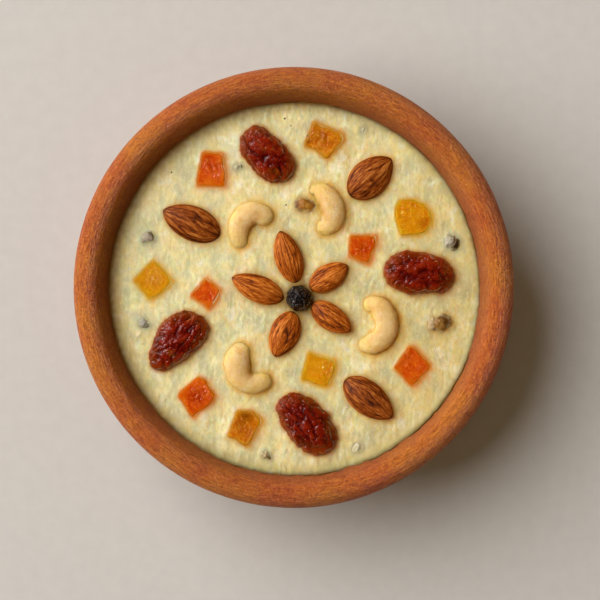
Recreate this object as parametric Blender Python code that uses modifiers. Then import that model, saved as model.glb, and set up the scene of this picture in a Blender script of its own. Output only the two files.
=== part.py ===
"""Rice pudding in a round terracotta bowl, laid with almonds, cashews, raisins, candied fruit and seeds."""

import math
import random

import bmesh
import bpy
from mathutils import Euler, Vector, noise

MM = 0.001
SEED = 7

# Sizes of the bowl in millimetres: its height, its rolled rim, the inside and the outside
BOWL_HEIGHT = 46.0
LIP_CENTRE_RADIUS = 75.25
LIP_ROUND = 4.75
LIP_CENTRE_HEIGHT = BOWL_HEIGHT - LIP_ROUND
LIP_START_DEG = 154.0
LIP_END_DEG = -48.0
LIP_STEPS = 8
INNER_TOP = (70.9, 43.2)
INNER_FLOOR = (36.0, 8.2)
INNER_BULGE = 4.4
INNER_STEPS = 6
FLOOR_HEIGHT = 8.0
NECK = (76.3, 35.6)
BODY_FOOT = (42.0, 2.2)
BODY_BULGE = 4.6
BODY_STEPS = 6
FOOT_RADIUS = 40.5
TURN_STEPS = 52

# Sizes of the pudding: the level it stands at, the gap to the bowl and the relief of its surface
LEVEL = 36.3
WALL_GAP = 0.45
CORE_STEPS = 6
GRID_PITCH = 2.8
SURFACE_JITTER = 0.28
SWELL_HEIGHT = 0.35
SWELL_LENGTH = 19.0
GRAIN_HEIGHT = 0.45
GRAIN_LENGTH = 3.2
GRAIN_WIDTH = 1.5
GRAIN_COUNT = 620
GRAIN_LEAN_DEG = 72.0
POCKET_GAP = 0.4
RAISIN_POCKET_GAP = 0.5
CASHEW_POCKET_GAP = 0.8
ALMOND_POCKET_GAP = 0.62
POCKET_RINGS = 6
POCKET_SIDES = 10
PUDDING_FACE_SHARE = 0.65

# Whole almonds: x, y, rise of the middle over the level, length, width, thickness, heading, bend, pitch, roll
ALMONDS = {
    "almond_west": (-37.3, 23.5, 0.5, 22.6, 12.8, 6.4, 155.2, 0.2, 2.0, -3.0),
    "almond_north": (27.9, 40.1, 0.5, 20.3, 13.6, 6.6, 40.5, 0.4, -2.0, 4.0),
    "almond_south": (27.1, -40.4, 0.5, 22.2, 12.2, 6.3, -41.0, 0.6, 3.0, 2.0),
    "petal_one": (-2.1, 11.1, 0.5, 19.9, 10.0, 5.8, 108.6, -0.3, 4.0, 0.0),
    "petal_two": (12.7, 3.8, 0.5, 16.2, 9.6, 5.6, 31.2, 0.2, 3.0, -4.0),
    "petal_three": (13.5, -10.9, 0.5, 17.4, 9.4, 5.6, -39.0, 0.9, 4.0, 3.0),
    "petal_four": (-3.5, -17.0, 0.5, 17.8, 10.8, 5.9, -112.7, 0.0, 3.0, 0.0),
    "petal_five": (-13.2, -0.3, 0.5, 20.4, 9.9, 5.8, 158.2, -0.3, 3.0, 3.0),
}
ALMOND_BLUNT = 0.58
ALMOND_POINT = 0.68
ALMOND_RIDGES = 6
ALMOND_RIDGE_SHARE = 0.02
ALMOND_RINGS = 8
ALMOND_SIDES = 12

# Cashews: points along the middle line as x, y, radius and rise over the level
CASHEWS = {
    "cashew_north_west": (
        (-19.5, 16.4, 2.8, -0.1),
        (-20.0, 19.2, 3.5, 0.2),
        (-19.8, 22.2, 3.9, 0.4),
        (-18.6, 24.9, 4.2, 0.5),
        (-16.2, 26.8, 4.2, 0.5),
        (-13.4, 27.1, 4.0, 0.4),
        (-10.8, 26.1, 3.7, 0.2),
    ),
    "cashew_north_east": (
        (6.6, 35.0, 1.9, -0.3),
        (8.1, 35.2, 2.8, -0.1),
        (10.6, 34.2, 3.8, 0.3),
        (13.0, 31.6, 4.3, 0.5),
        (14.3, 27.8, 4.5, 0.5),
        (13.8, 24.5, 4.2, 0.4),
        (11.9, 22.3, 3.5, 0.0),
        (10.0, 21.6, 2.8, -0.3),
    ),
    "cashew_east": (
        (26.8, -6.6, 2.3, 0.0),
        (28.6, -6.3, 3.3, 0.1),
        (30.6, -6.9, 3.9, 0.3),
        (32.6, -8.9, 4.2, 0.5),
        (33.9, -12.2, 4.2, 0.5),
        (33.7, -15.8, 4.2, 0.5),
        (31.8, -18.8, 4.1, 0.4),
        (28.9, -20.4, 3.9, 0.2),
        (26.6, -20.9, 3.3, 0.0),
        (24.9, -20.8, 2.5, -0.2),
    ),
    "cashew_south_west": (
        (-18.9, -22.3, 3.4, -0.1),
        (-20.0, -24.6, 4.4, 0.3),
        (-20.5, -27.4, 4.8, 0.5),
        (-20.2, -30.3, 4.6, 0.5),
        (-18.8, -33.2, 4.2, 0.4),
        (-16.2, -34.9, 3.8, 0.3),
        (-13.2, -34.8, 3.8, 0.2),
        (-10.9, -33.9, 3.4, 0.0),
    ),
}
CASHEW_FLATNESS = 0.68
CASHEW_RINGS = 8
CASHEW_SIDES = 10

# Large raisins: x, y, rise, length, width, thickness, heading, squareness, taper
RAISINS = {
    "raisin_north": (-9.6, 48.1, 0.5, 24.2, 14.6, 6.5, 131.5, 2.3, 0.02),
    "raisin_east": (45.4, 5.1, 0.5, 25.3, 15.6, 6.5, 172.0, 2.3, 0.03),
    "raisin_west": (-42.2, -19.5, 0.5, 25.2, 15.8, 6.5, 49.5, 2.2, 0.10),
    "raisin_south": (4.6, -49.4, 0.5, 26.4, 15.8, 6.5, 131.0, 2.25, -0.02),
}
RAISIN_RINGS = 11
RAISIN_SIDES = 15
RAISIN_FOLDS = 5
RAISIN_FOLD_SHARE = 0.055

# The round black raisin in the middle of the flower: x, y, rise, diameter, thickness
CURRANT = (1.9, -3.9, 0.8, 9.4, 7.0)
CURRANT_RINGS = 7
CURRANT_SIDES = 12
CURRANT_FOLD_SHARE = 0.045

# Candied fruit: rise of the top over the level, tilt east, tilt north, then the corners of the top as x, y
DICE = {
    "orange_north_west": (
        0.6, 1.5, 1.0,
        ((-33.5, 49.5), (-26.1, 49.0), (-24.6, 41.3), (-25.2, 36.6), (-35.5, 37.0), (-35.6, 39.3)),
    ),
    "orange_middle": (
        0.5, -1.5, 1.0,
        ((20.1, 19.0), (30.1, 19.2), (29.9, 15.6), (27.5, 8.5), (26.0, 8.6), (19.7, 11.1)),
    ),
    "orange_west": (
        0.4, 1.0, -1.5,
        ((-32.1, 3.8), (-26.6, -0.8), (-27.7, -4.0), (-30.3, -8.1), (-31.6, -7.9), (-34.1, -5.7),
         (-37.8, -3.3), (-37.4, -2.0)),
    ),
    "orange_south_west": (
        0.7, 1.5, 2.0,
        ((-35.1, -32.4), (-32.1, -33.5), (-30.8, -36.3), (-28.4, -39.5), (-29.3, -41.4),
         (-36.6, -47.3), (-37.6, -47.0), (-39.4, -43.7), (-42.4, -39.5), (-41.5, -37.7)),
    ),
    "orange_east": (
        0.6, -1.5, 1.5,
        ((41.7, -21.2), (43.5, -21.3), (49.6, -28.0), (49.3, -29.3), (46.9, -32.7), (43.7, -35.9),
         (42.4, -35.8), (39.7, -33.0), (36.3, -29.3), (36.8, -28.2)),
    ),
    "yellow_west": (
        0.4, 1.0, -1.0,
        ((-51.4, 10.4), (-47.3, 6.5), (-44.1, 2.1), (-44.9, 0.8), (-51.1, -4.3), (-52.9, -4.2),
         (-58.6, 2.4), (-58.3, 3.2)),
    ),
    "yellow_north_east": (
        0.6, -1.0, -1.5,
        ((37.6, 31.6), (40.0, 32.2), (43.8, 32.3), (47.9, 30.1), (50.4, 26.6), (50.5, 24.0),
         (48.3, 20.3), (44.5, 19.0), (38.7, 18.8), (36.8, 24.9), (36.5, 28.6)),
    ),
    "yellow_south": (
        0.5, 1.0, 1.0,
        ((5.0, -23.4), (14.6, -26.2), (15.2, -27.8), (14.9, -30.7), (12.7, -36.3), (11.1, -36.5),
         (2.9, -33.8), (2.5, -32.6)),
    ),
    "amber_north": (
        0.4, 1.5, 1.0,
        ((6.9, 60.6), (17.3, 56.4), (18.3, 53.7), (16.5, 51.3), (12.3, 47.0), (11.3, 47.0),
         (7.7, 50.2), (3.6, 51.2), (3.9, 52.9)),
    ),
    "amber_south": (
        0.5, -1.5, -1.0,
        ((-20.9, -44.7), (-15.5, -44.5), (-11.3, -48.0), (-12.0, -50.2), (-16.6, -57.7),
         (-17.8, -57.8), (-20.9, -55.4), (-24.4, -54.2), (-23.8, -52.3)),
    ),
}
DICE_DEPTH = 5.6
DICE_EDGE = 0.9
DICE_SHARPEST = 0.35
DICE_SPREAD = 0.35

# Seeds half sunk in the pudding and part of it: x, y, radius, height over the level
SEEDS = (
    (-52.9, 18.6, 2.1, 1.5),
    (57.4, 16.4, 2.7, 1.8),
    (-54.7, -13.2, 2.0, 1.1),
    (52.4, -13.6, 3.2, 2.1),
    (4.6, 30.0, 2.9, 1.2),
    (-10.1, -61.3, 1.8, 1.1),
    (-20.0, 43.9, 1.7, 0.8),
    (25.6, 57.3, 1.9, 0.7),
    (23.2, -58.6, 2.3, 0.8),
)
SEED_RINGS = 4
SEED_SIDES = 8

# Colours of the plain materials as red, green, blue and the roughness
TERRACOTTA = ((0.42, 0.13, 0.045), 0.72)
CREAM = ((0.78, 0.69, 0.38), 0.42)
ALMOND_SKIN = ((0.22, 0.065, 0.014), 0.5)
CASHEW_FLESH = ((0.8, 0.56, 0.27), 0.45)
RAISIN_SKIN = ((0.16, 0.012, 0.006), 0.28)
CURRANT_SKIN = ((0.012, 0.009, 0.008), 0.35)
ORANGE_PEEL = ((0.75, 0.11, 0.008), 0.35)
YELLOW_PEEL = ((0.74, 0.3, 0.012), 0.35)
AMBER_PEEL = ((0.53, 0.18, 0.012), 0.35)


def clear_scene():
    for item in list(bpy.data.objects):
        bpy.data.objects.remove(item, do_unlink=True)


def make_material(name, look):
    colour, roughness = look
    material = bpy.data.materials.new(name)
    material.use_nodes = True
    shader = material.node_tree.nodes["Principled BSDF"]
    shader.inputs["Base Color"].default_value = (*colour, 1.0)
    shader.inputs["Roughness"].default_value = roughness
    return material


def add_mesh(name, points, faces, material):
    mesh = bpy.data.meshes.new(name)
    mesh.from_pydata([Vector(p) * MM for p in points], [], faces)
    mesh.materials.append(material)
    thing = bpy.data.objects.new(name, mesh)
    bpy.context.scene.collection.objects.link(thing)
    face_outwards(thing)
    return thing


def face_outwards(thing):
    work = bmesh.new()
    work.from_mesh(thing.data)
    bmesh.ops.recalc_face_normals(work, faces=work.faces)
    work.to_mesh(thing.data)
    work.free()


def place(points, x, y, z, heading=0.0, pitch=0.0, roll=0.0):
    """Points turned by roll, pitch and heading in degrees and moved to x, y, z."""
    turn = Euler([math.radians(a) for a in (roll, -pitch, heading)], "XYZ").to_matrix()
    centre = Vector((x, y, z))
    return [turn @ Vector(p) + centre for p in points]


def skin_rings(rings, first, last):
    """Points and faces of a closed form made of equal rings with a pole at each end."""
    sides = len(rings[0])
    points = [first]
    for ring in rings:
        points.extend(ring)
    points.append(last)
    faces = []
    for i in range(sides):
        faces.append((0, 1 + (i + 1) % sides, 1 + i))
    for k in range(len(rings) - 1):
        low = 1 + k * sides
        high = low + sides
        for i in range(sides):
            j = (i + 1) % sides
            faces.append((low + i, low + j, high + j, high + i))
    low = 1 + (len(rings) - 1) * sides
    end = len(points) - 1
    for i in range(sides):
        faces.append((low + i, low + (i + 1) % sides, end))
    return points, faces


def bulged_line(start, end, bulge, steps):
    """Points from start to end on a shallow arc that leans out to the right by the bulge."""
    run = Vector(end) - Vector(start)
    side = Vector((run.y, -run.x)).normalized()
    line = []
    for i in range(steps + 1):
        t = i / steps
        point = Vector(start) + run * t + side * bulge * 4.0 * t * (1.0 - t)
        line.append((point.x, point.y))
    return line


def bowl_profile():
    profile = [(0.0, FLOOR_HEIGHT), (INNER_FLOOR[0] * 0.55, FLOOR_HEIGHT)]
    profile += bulged_line(INNER_FLOOR, INNER_TOP, INNER_BULGE, INNER_STEPS)
    for i in range(LIP_STEPS + 1):
        angle = math.radians(LIP_START_DEG + (LIP_END_DEG - LIP_START_DEG) * i / LIP_STEPS)
        profile.append(
            (
                LIP_CENTRE_RADIUS + LIP_ROUND * math.cos(angle),
                LIP_CENTRE_HEIGHT + LIP_ROUND * math.sin(angle),
            )
        )
    outside = bulged_line(BODY_FOOT, NECK, BODY_BULGE, BODY_STEPS)
    profile += reversed(outside)
    profile += [(FOOT_RADIUS, 0.0), (0.0, 0.0)]
    return profile


def make_bowl(material):
    profile = bowl_profile()
    mesh = bpy.data.meshes.new("bowl")
    points = [Vector((r, 0.0, z)) * MM for r, z in profile]
    mesh.from_pydata(points, [(i, i + 1) for i in range(len(points) - 1)], [])
    mesh.materials.append(material)
    bowl = bpy.data.objects.new("bowl", mesh)
    bpy.context.scene.collection.objects.link(bowl)
    turn = bowl.modifiers.new("turn", "SCREW")
    turn.steps = TURN_STEPS
    turn.render_steps = TURN_STEPS
    turn.use_merge_vertices = True
    turn.merge_threshold = 0.00001
    turn.use_normal_calculate = True
    return bowl


def almond_points(length, width, thickness, bend, rings, sides, grow=0.0):
    """An almond along X with its point at plus X, its skin ridged lengthwise."""
    widest = ALMOND_BLUNT / (ALMOND_BLUNT + ALMOND_POINT)
    peak = widest**ALMOND_BLUNT * (1.0 - widest) ** ALMOND_POINT
    made = []
    for k in range(rings):
        t = 0.5 - 0.5 * math.cos(math.pi * (k + 0.75) / (rings + 0.5))
        share = t**ALMOND_BLUNT * (1.0 - t) ** ALMOND_POINT / peak
        middle = bend * (t * t - 0.35)
        ring = []
        for i in range(sides):
            angle = math.tau * i / sides
            ridge = 1.0 + ALMOND_RIDGE_SHARE * math.cos(ALMOND_RIDGES * angle)
            half_width = share * width / 2.0 * ridge + grow
            half_height = share * thickness / 2.0 * ridge + grow
            ring.append(
                (
                    (t - 0.5) * (length + 2.0 * grow),
                    middle + half_width * math.cos(angle),
                    half_height * math.sin(angle),
                )
            )
        made.append(ring)
    half = length / 2.0 + grow
    return skin_rings(made, (-half, -0.35 * bend, 0.0), (half, 0.65 * bend, 0.0))


def curve_point(knots, t):
    """A point and its radius on the smooth line through the knots, t from 0 to 1."""
    last = len(knots) - 1
    place_on = min(t * last, last - 1e-6)
    i = int(place_on)
    u = place_on - i
    a = Vector(knots[max(i - 1, 0)])
    b = Vector(knots[i])
    c = Vector(knots[i + 1])
    d = Vector(knots[min(i + 2, last)])
    return 0.5 * (
        2.0 * b
        + (c - a) * u
        + (2.0 * a - 5.0 * b + 4.0 * c - d) * u**2
        + (3.0 * b - a - 3.0 * c + d) * u**3
    )


def cashew_points(knots, rings, sides, grow=0.0):
    """A bent nut round a smooth line of x, y, radius, rise with round ends."""
    made = []
    ends = []
    for k in range(rings):
        t = 0.5 - 0.5 * math.cos(math.pi * (k + 0.5) / rings)
        x, y, radius, rise = curve_point(knots, t)
        ahead = curve_point(knots, min(t + 0.02, 1.0))
        behind = curve_point(knots, max(t - 0.02, 0.0))
        along = Vector((ahead[0] - behind[0], ahead[1] - behind[1], 0.0)).normalized()
        side = Vector((-along.y, along.x, 0.0))
        made.append((Vector((x, y, LEVEL + rise)), radius, side))
    rows = []
    first, last = made[0], made[-1]
    cap_steps = (0.93, 0.62)
    for shift in cap_steps:
        rows.append(cap_row(first, shift, 1.0))
    rows += made
    for shift in reversed(cap_steps):
        rows.append(cap_row(last, shift, -1.0))
    out = []
    for centre, radius, side in rows:
        ring = []
        for i in range(sides):
            angle = math.tau * i / sides
            across = side * math.cos(angle) * (radius + grow)
            up = Vector((0.0, 0.0, 1.0)) * math.sin(angle) * (radius * CASHEW_FLATNESS + grow)
            ring.append(centre + across + up)
        out.append(ring)
    for centre, radius, side, sign in ((*first, 1.0), (*last, -1.0)):
        along = Vector((side.y, -side.x, 0.0))
        ends.append(centre - sign * along * (radius + grow))
    return skin_rings(out, ends[0], ends[1])


def cap_row(row, shift, sign):
    centre, radius, side = row
    along = Vector((side.y, -side.x, 0.0))
    return centre - sign * along * radius * shift, radius * math.sqrt(1.0 - shift**2), side


def raisin_points(length, width, thickness, square, taper, phase, rings, sides, grow=0.0):
    """A raisin along X with folds that run lengthwise and wander from end to end."""
    made = []
    for k in range(rings):
        lift = math.pi * (k + 0.7) / (rings + 0.4)
        u = -math.cos(lift)
        x = math.copysign(abs(u) ** (2.0 / square), u)
        share = max(1.0 - abs(x) ** square, 0.0) ** (1.0 / square)
        ring = []
        for i in range(sides):
            angle = math.tau * i / sides
            wander = phase + 2.2 * math.sin(1.7 * x + phase)
            fold = RAISIN_FOLD_SHARE * math.sin(RAISIN_FOLDS * angle + wander)
            fold += 0.5 * RAISIN_FOLD_SHARE * math.sin(9.0 * x + 2.0 * angle + 2.0 * phase)
            reach = share * (1.0 + fold)
            across = reach * width / 2.0 * (1.0 + taper * x)
            ring.append(
                (
                    x * length / 2.0 * (1.0 + grow * 2.0 / length),
                    (across + grow) * math.cos(angle),
                    (reach * thickness / 2.0 + grow) * math.sin(angle),
                )
            )
        made.append(ring)
    half = length / 2.0 + grow
    return skin_rings(made, (-half, 0.0, 0.0), (half, 0.0, 0.0))


def currant_points(diameter, thickness, rings, sides, grow=0.0):
    """A small round wrinkled raisin, its poles up and down."""
    made = []
    for k in range(rings):
        lift = -math.pi / 2.0 + math.pi * (k + 0.8) / (rings + 0.6)
        ring = []
        for i in range(sides):
            angle = math.tau * i / sides
            fold = CURRANT_FOLD_SHARE * math.sin(5.0 * angle + 3.0 * lift)
            fold += 0.6 * CURRANT_FOLD_SHARE * math.sin(3.0 * angle - 6.0 * lift)
            reach = diameter / 2.0 * (1.0 + fold) * math.cos(lift) + grow
            ring.append(
                (
                    reach * math.cos(angle),
                    reach * math.sin(angle),
                    (thickness / 2.0 + grow) * math.sin(lift),
                )
            )
        made.append(ring)
    half = thickness / 2.0 + grow
    return skin_rings(made, (0.0, 0.0, -half), (0.0, 0.0, half))


def inset_outline(corners, inset):
    """The outline through the corners, drawn in by the inset."""
    count = len(corners)
    outline = []
    for i in range(count):
        here = Vector(corners[i])
        before = (here - Vector(corners[i - 1])).normalized()
        after = (Vector(corners[(i + 1) % count]) - here).normalized()
        inward = Vector((before.y, -before.x)) + Vector((after.y, -after.x))
        reach = inset / max(DICE_SHARPEST, 0.5 * inward.length)
        outline.append(here + inward.normalized() * reach)
    return outline


def dice_points(rise, tilt_x, tilt_y, corners, grow=0.0):
    """A candied piece with soft edges: wider in the middle, its top tilted a little."""
    middle = sum((Vector(c) for c in corners), Vector((0.0, 0.0))) / len(corners)
    top = LEVEL + rise
    rows = (
        (0.0, DICE_EDGE * 0.75),
        (-DICE_EDGE * 0.35, DICE_EDGE * 0.2),
        (-DICE_EDGE, -DICE_SPREAD * 0.3),
        (-DICE_DEPTH * 0.6, -DICE_SPREAD),
        (-DICE_DEPTH + DICE_EDGE * 0.5, -DICE_SPREAD * 0.3),
        (-DICE_DEPTH, DICE_EDGE * 0.6),
    )
    slope_x = math.tan(math.radians(tilt_x))
    slope_y = math.tan(math.radians(tilt_y))
    rings = []
    for drop, inset in rows:
        outline = inset_outline(corners, inset - grow)
        lift = grow if drop == 0.0 else -grow if drop == -DICE_DEPTH else 0.0
        rings.append(
            [
                (p.x, p.y, top + drop + lift + (p.x - middle.x) * slope_x + (p.y - middle.y) * slope_y)
                for p in outline
            ]
        )
    last_top = (middle.x, middle.y, top + grow)
    last_base = (middle.x, middle.y, top - DICE_DEPTH - grow)
    return skin_rings(rings, last_top, last_base)


def topping_shape(name, grow=0.0):
    """Points and faces of a topping, or of the space that it needs when it is grown."""
    if name in ALMONDS:
        x, y, rise, length, width, thickness, heading, bend, pitch, roll = ALMONDS[name]
        rings = POCKET_RINGS if grow else ALMOND_RINGS
        sides = POCKET_SIDES if grow else ALMOND_SIDES
        points, faces = almond_points(length, width, thickness, bend, rings, sides, grow)
        return place(points, x, y, LEVEL + rise, heading, pitch, roll), faces
    if name in CASHEWS:
        return cashew_points(CASHEWS[name], CASHEW_RINGS, CASHEW_SIDES, grow)
    if name in RAISINS:
        x, y, rise, length, width, thickness, heading, square, taper = RAISINS[name]
        phase = 1.3 * (1 + list(RAISINS).index(name))
        points, faces = raisin_points(
            length, width, thickness, square, taper, phase, RAISIN_RINGS, RAISIN_SIDES, grow
        )
        return place(points, x, y, LEVEL + rise, heading), faces
    if name in DICE:
        return dice_points(*DICE[name], grow)
    x, y, rise, diameter, thickness = CURRANT
    points, faces = currant_points(diameter, thickness, CURRANT_RINGS, CURRANT_SIDES, grow)
    return place(points, x, y, LEVEL + rise), faces


def pocket_gap(name):
    if name in ALMONDS:
        return ALMOND_POCKET_GAP
    if name in CASHEWS:
        return CASHEW_POCKET_GAP
    if name in RAISINS:
        return RAISIN_POCKET_GAP
    return POCKET_GAP


def surface_height(x, y, grains):
    """Height of the pudding's surface over its level at x, y."""
    swell = noise.noise(Vector((x, y, 3.0)) / SWELL_LENGTH) * SWELL_HEIGHT * 2.0
    bump = 0.0
    for gx, gy, cos_a, sin_a, size in grains:
        dx = x - gx
        dy = y - gy
        if abs(dx) > 4.0 or abs(dy) > 4.0:
            continue
        u = (dx * cos_a + dy * sin_a) / (GRAIN_LENGTH / 2.0)
        v = (dy * cos_a - dx * sin_a) / (GRAIN_WIDTH / 2.0)
        bump = max(bump, size * math.exp(-(u * u + v * v) / 2.0))
    return swell + bump * GRAIN_HEIGHT


def scatter_grains():
    draw = random.Random(SEED)
    reach = INNER_TOP[0] - 3.0
    grains = []
    for _ in range(GRAIN_COUNT):
        angle = draw.uniform(0.0, math.tau)
        radius = reach * math.sqrt(draw.uniform(0.0, 1.0))
        lean = math.radians(GRAIN_LEAN_DEG + draw.gauss(0.0, 28.0))
        grains.append(
            (
                radius * math.cos(angle),
                radius * math.sin(angle),
                math.cos(lean),
                math.sin(lean),
                draw.uniform(0.5, 1.0),
            )
        )
    return grains


def make_slab(material):
    """A square block whose top is the pudding's surface, wider than the bowl."""
    draw = random.Random(SEED + 1)
    grains = scatter_grains()
    half_cells = int(INNER_TOP[0] / GRID_PITCH) + 1
    count = 2 * half_cells + 1
    points = []
    for j in range(count):
        for i in range(count):
            x = (i - half_cells + 0.5 * (j % 2)) * GRID_PITCH
            y = (j - half_cells) * GRID_PITCH
            x += draw.uniform(-SURFACE_JITTER, SURFACE_JITTER)
            y += draw.uniform(-SURFACE_JITTER, SURFACE_JITTER)
            points.append((x, y, LEVEL + surface_height(x, y, grains)))
    faces = []
    for j in range(count - 1):
        for i in range(count - 1):
            a = j * count + i
            b = a + 1
            c = a + count
            d = c + 1
            if j % 2:
                faces += [(a, b, d), (a, d, c)]
            else:
                faces += [(a, b, c), (b, d, c)]
    rim = [i for i in range(count)]
    rim += [j * count + count - 1 for j in range(1, count)]
    rim += [(count - 1) * count + i for i in range(count - 2, -1, -1)]
    rim += [j * count for j in range(count - 2, 0, -1)]
    start = len(points)
    for index in rim:
        points.append((points[index][0], points[index][1], FLOOR_HEIGHT - 4.0))
    for k in range(len(rim)):
        m = (k + 1) % len(rim)
        faces.append((rim[k], start + k, start + m, rim[m]))
    faces.append(tuple(start + k for k in range(len(rim))))
    return add_mesh("slab", points, faces, material)


def make_core(material):
    """The inside of the bowl drawn in by the gap, as a closed turned form."""
    inner = bulged_line(INNER_FLOOR, INNER_TOP, INNER_BULGE, CORE_STEPS)
    inner = [(r - WALL_GAP, z + WALL_GAP * 0.6) for r, z in inner]
    rings = []
    for r, z in inner:
        rings.append(
            [
                (r * math.cos(math.tau * i / TURN_STEPS), r * math.sin(math.tau * i / TURN_STEPS), z)
                for i in range(TURN_STEPS)
            ]
        )
    base = (0.0, 0.0, inner[0][1])
    top = (0.0, 0.0, inner[-1][1])
    points, faces = skin_rings(rings, base, top)
    return add_mesh("core", points, faces, material)


def seed_points(x, y, radius, height):
    rings = []
    centre = LEVEL + height - radius * 0.85
    for k in range(SEED_RINGS):
        lift = -math.pi / 2.0 + math.pi * (k + 0.8) / (SEED_RINGS + 0.6)
        rings.append(
            [
                (
                    x + radius * math.cos(lift) * math.cos(math.tau * i / SEED_SIDES),
                    y + radius * math.cos(lift) * math.sin(math.tau * i / SEED_SIDES),
                    centre + radius * 0.85 * math.sin(lift),
                )
                for i in range(SEED_SIDES)
            ]
        )
    return skin_rings(
        rings, (x, y, centre - radius * 0.85), (x, y, centre + radius * 0.85)
    )


def bake_modifiers(thing):
    """Puts the mesh that the modifiers make in place of the thing's own."""
    bpy.context.view_layer.update()
    view = thing.evaluated_get(bpy.context.evaluated_depsgraph_get())
    mesh = bpy.data.meshes.new_from_object(view)
    old = thing.data
    thing.modifiers.clear()
    thing.data = mesh
    bpy.data.meshes.remove(old)


def merge_small_faces(thing, share):
    """Joins the smallest and flattest faces until only the share of them is left."""
    step = thing.modifiers.new("step", "DECIMATE")
    step.ratio = share
    step.use_collapse_triangulate = True
    bake_modifiers(thing)


def apply_boolean(thing, operation, operand):
    """One Boolean step on the thing, applied, with its operands removed."""
    step = thing.modifiers.new("step", "BOOLEAN")
    step.operation = operation
    step.solver = "EXACT"
    group = isinstance(operand, bpy.types.Collection)
    if group:
        step.operand_type = "COLLECTION"
        step.collection = operand
    else:
        step.object = operand
    bake_modifiers(thing)
    used = list(operand.objects) if group else [operand]
    for item in used:
        bpy.data.objects.remove(item, do_unlink=True)
    if group:
        bpy.data.collections.remove(operand)


def gather(name, things):
    group = bpy.data.collections.new(name)
    bpy.context.scene.collection.children.link(group)
    for item in things:
        bpy.context.scene.collection.objects.unlink(item)
        group.objects.link(item)
    return group


def make_pudding(material):
    pudding = make_slab(material)
    pudding.name = "pudding"
    pudding.data.name = "pudding"
    apply_boolean(pudding, "INTERSECT", make_core(material))
    seeds = [
        add_mesh("seed", *seed_points(*row), material) for row in SEEDS
    ]
    apply_boolean(pudding, "UNION", gather("seeds", seeds))
    spaces = [
        add_mesh("space", *topping_shape(name, pocket_gap(name)), material)
        for name in topping_names()
    ]
    apply_boolean(pudding, "DIFFERENCE", gather("spaces", spaces))
    tidy_mesh(pudding)
    merge_small_faces(pudding, PUDDING_FACE_SHARE)
    pudding.data.materials.clear()
    pudding.data.materials.append(material)
    return pudding


def tidy_mesh(thing):
    """Merges points that a Boolean left together and triangulates the faces."""
    work = bmesh.new()
    work.from_mesh(thing.data)
    bmesh.ops.remove_doubles(work, verts=work.verts, dist=0.02 * MM)
    bmesh.ops.dissolve_degenerate(work, edges=work.edges, dist=0.01 * MM)
    bmesh.ops.triangulate(work, faces=work.faces)
    bmesh.ops.recalc_face_normals(work, faces=work.faces)
    work.to_mesh(thing.data)
    work.free()


def topping_names():
    return [*ALMONDS, *CASHEWS, *RAISINS, *DICE, "currant"]


def topping_look(name):
    if name in ALMONDS:
        return "almond_skin"
    if name in CASHEWS:
        return "cashew_flesh"
    if name in RAISINS:
        return "raisin_skin"
    if name in DICE:
        return name.split("_")[0] + "_peel"
    return "currant_skin"


def build():
    clear_scene()
    looks = {
        "terracotta": TERRACOTTA,
        "cream": CREAM,
        "almond_skin": ALMOND_SKIN,
        "cashew_flesh": CASHEW_FLESH,
        "raisin_skin": RAISIN_SKIN,
        "currant_skin": CURRANT_SKIN,
        "orange_peel": ORANGE_PEEL,
        "yellow_peel": YELLOW_PEEL,
        "amber_peel": AMBER_PEEL,
    }
    materials = {name: make_material(name, look) for name, look in looks.items()}
    make_bowl(materials["terracotta"])
    make_pudding(materials["cream"])
    for name in topping_names():
        add_mesh(name, *topping_shape(name), materials[topping_look(name)])


build()
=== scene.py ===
"""Rice pudding in a terracotta bowl, laid with nuts, raisins, candied fruit and seeds."""

import math

import bpy
import numpy as np
from mathutils import Euler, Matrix, Vector, kdtree, noise


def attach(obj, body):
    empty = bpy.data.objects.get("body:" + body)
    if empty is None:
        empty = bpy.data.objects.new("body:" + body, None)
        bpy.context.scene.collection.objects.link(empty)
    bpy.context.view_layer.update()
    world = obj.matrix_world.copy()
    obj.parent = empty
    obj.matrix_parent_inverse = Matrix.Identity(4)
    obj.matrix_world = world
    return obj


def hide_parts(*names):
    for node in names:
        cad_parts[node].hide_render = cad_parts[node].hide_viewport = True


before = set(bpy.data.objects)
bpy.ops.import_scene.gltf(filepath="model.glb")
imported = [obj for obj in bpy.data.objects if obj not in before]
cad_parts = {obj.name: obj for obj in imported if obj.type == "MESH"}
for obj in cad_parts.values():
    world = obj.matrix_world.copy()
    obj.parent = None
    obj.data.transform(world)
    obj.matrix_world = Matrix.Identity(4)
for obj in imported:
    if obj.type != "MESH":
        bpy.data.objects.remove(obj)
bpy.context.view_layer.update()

MM = 0.001

# The bowl's turned profile in millimetres, as in the solids
BOWL_HEIGHT = 46.0
LIP_CENTRE = (75.25, 41.25)
LIP_ROUND = 4.75
LIP_START_DEG = 154.0
LIP_END_DEG = -48.0
INNER_TOP = (70.9, 43.2)
INNER_FLOOR = (36.0, 8.2)
INNER_BULGE = 4.4
FLOOR_HEIGHT = 8.0
NECK = (76.3, 35.6)
BODY_FOOT = (42.0, 2.2)
BODY_BULGE = 4.6
FOOT_RADIUS = 40.5
WALL_STEPS = 44
BOWL_SIDES = 384

# The pudding: its level, the radius where it meets the wall, and the spacing of its surface points
LEVEL = 36.3
EDGE_RADIUS = 67.35
SURFACE_PITCH = 0.42
# The way towards which the milk is painted darker, as painted shade
PAINTED_SHADE_TURN = math.radians(-18.0)

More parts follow.
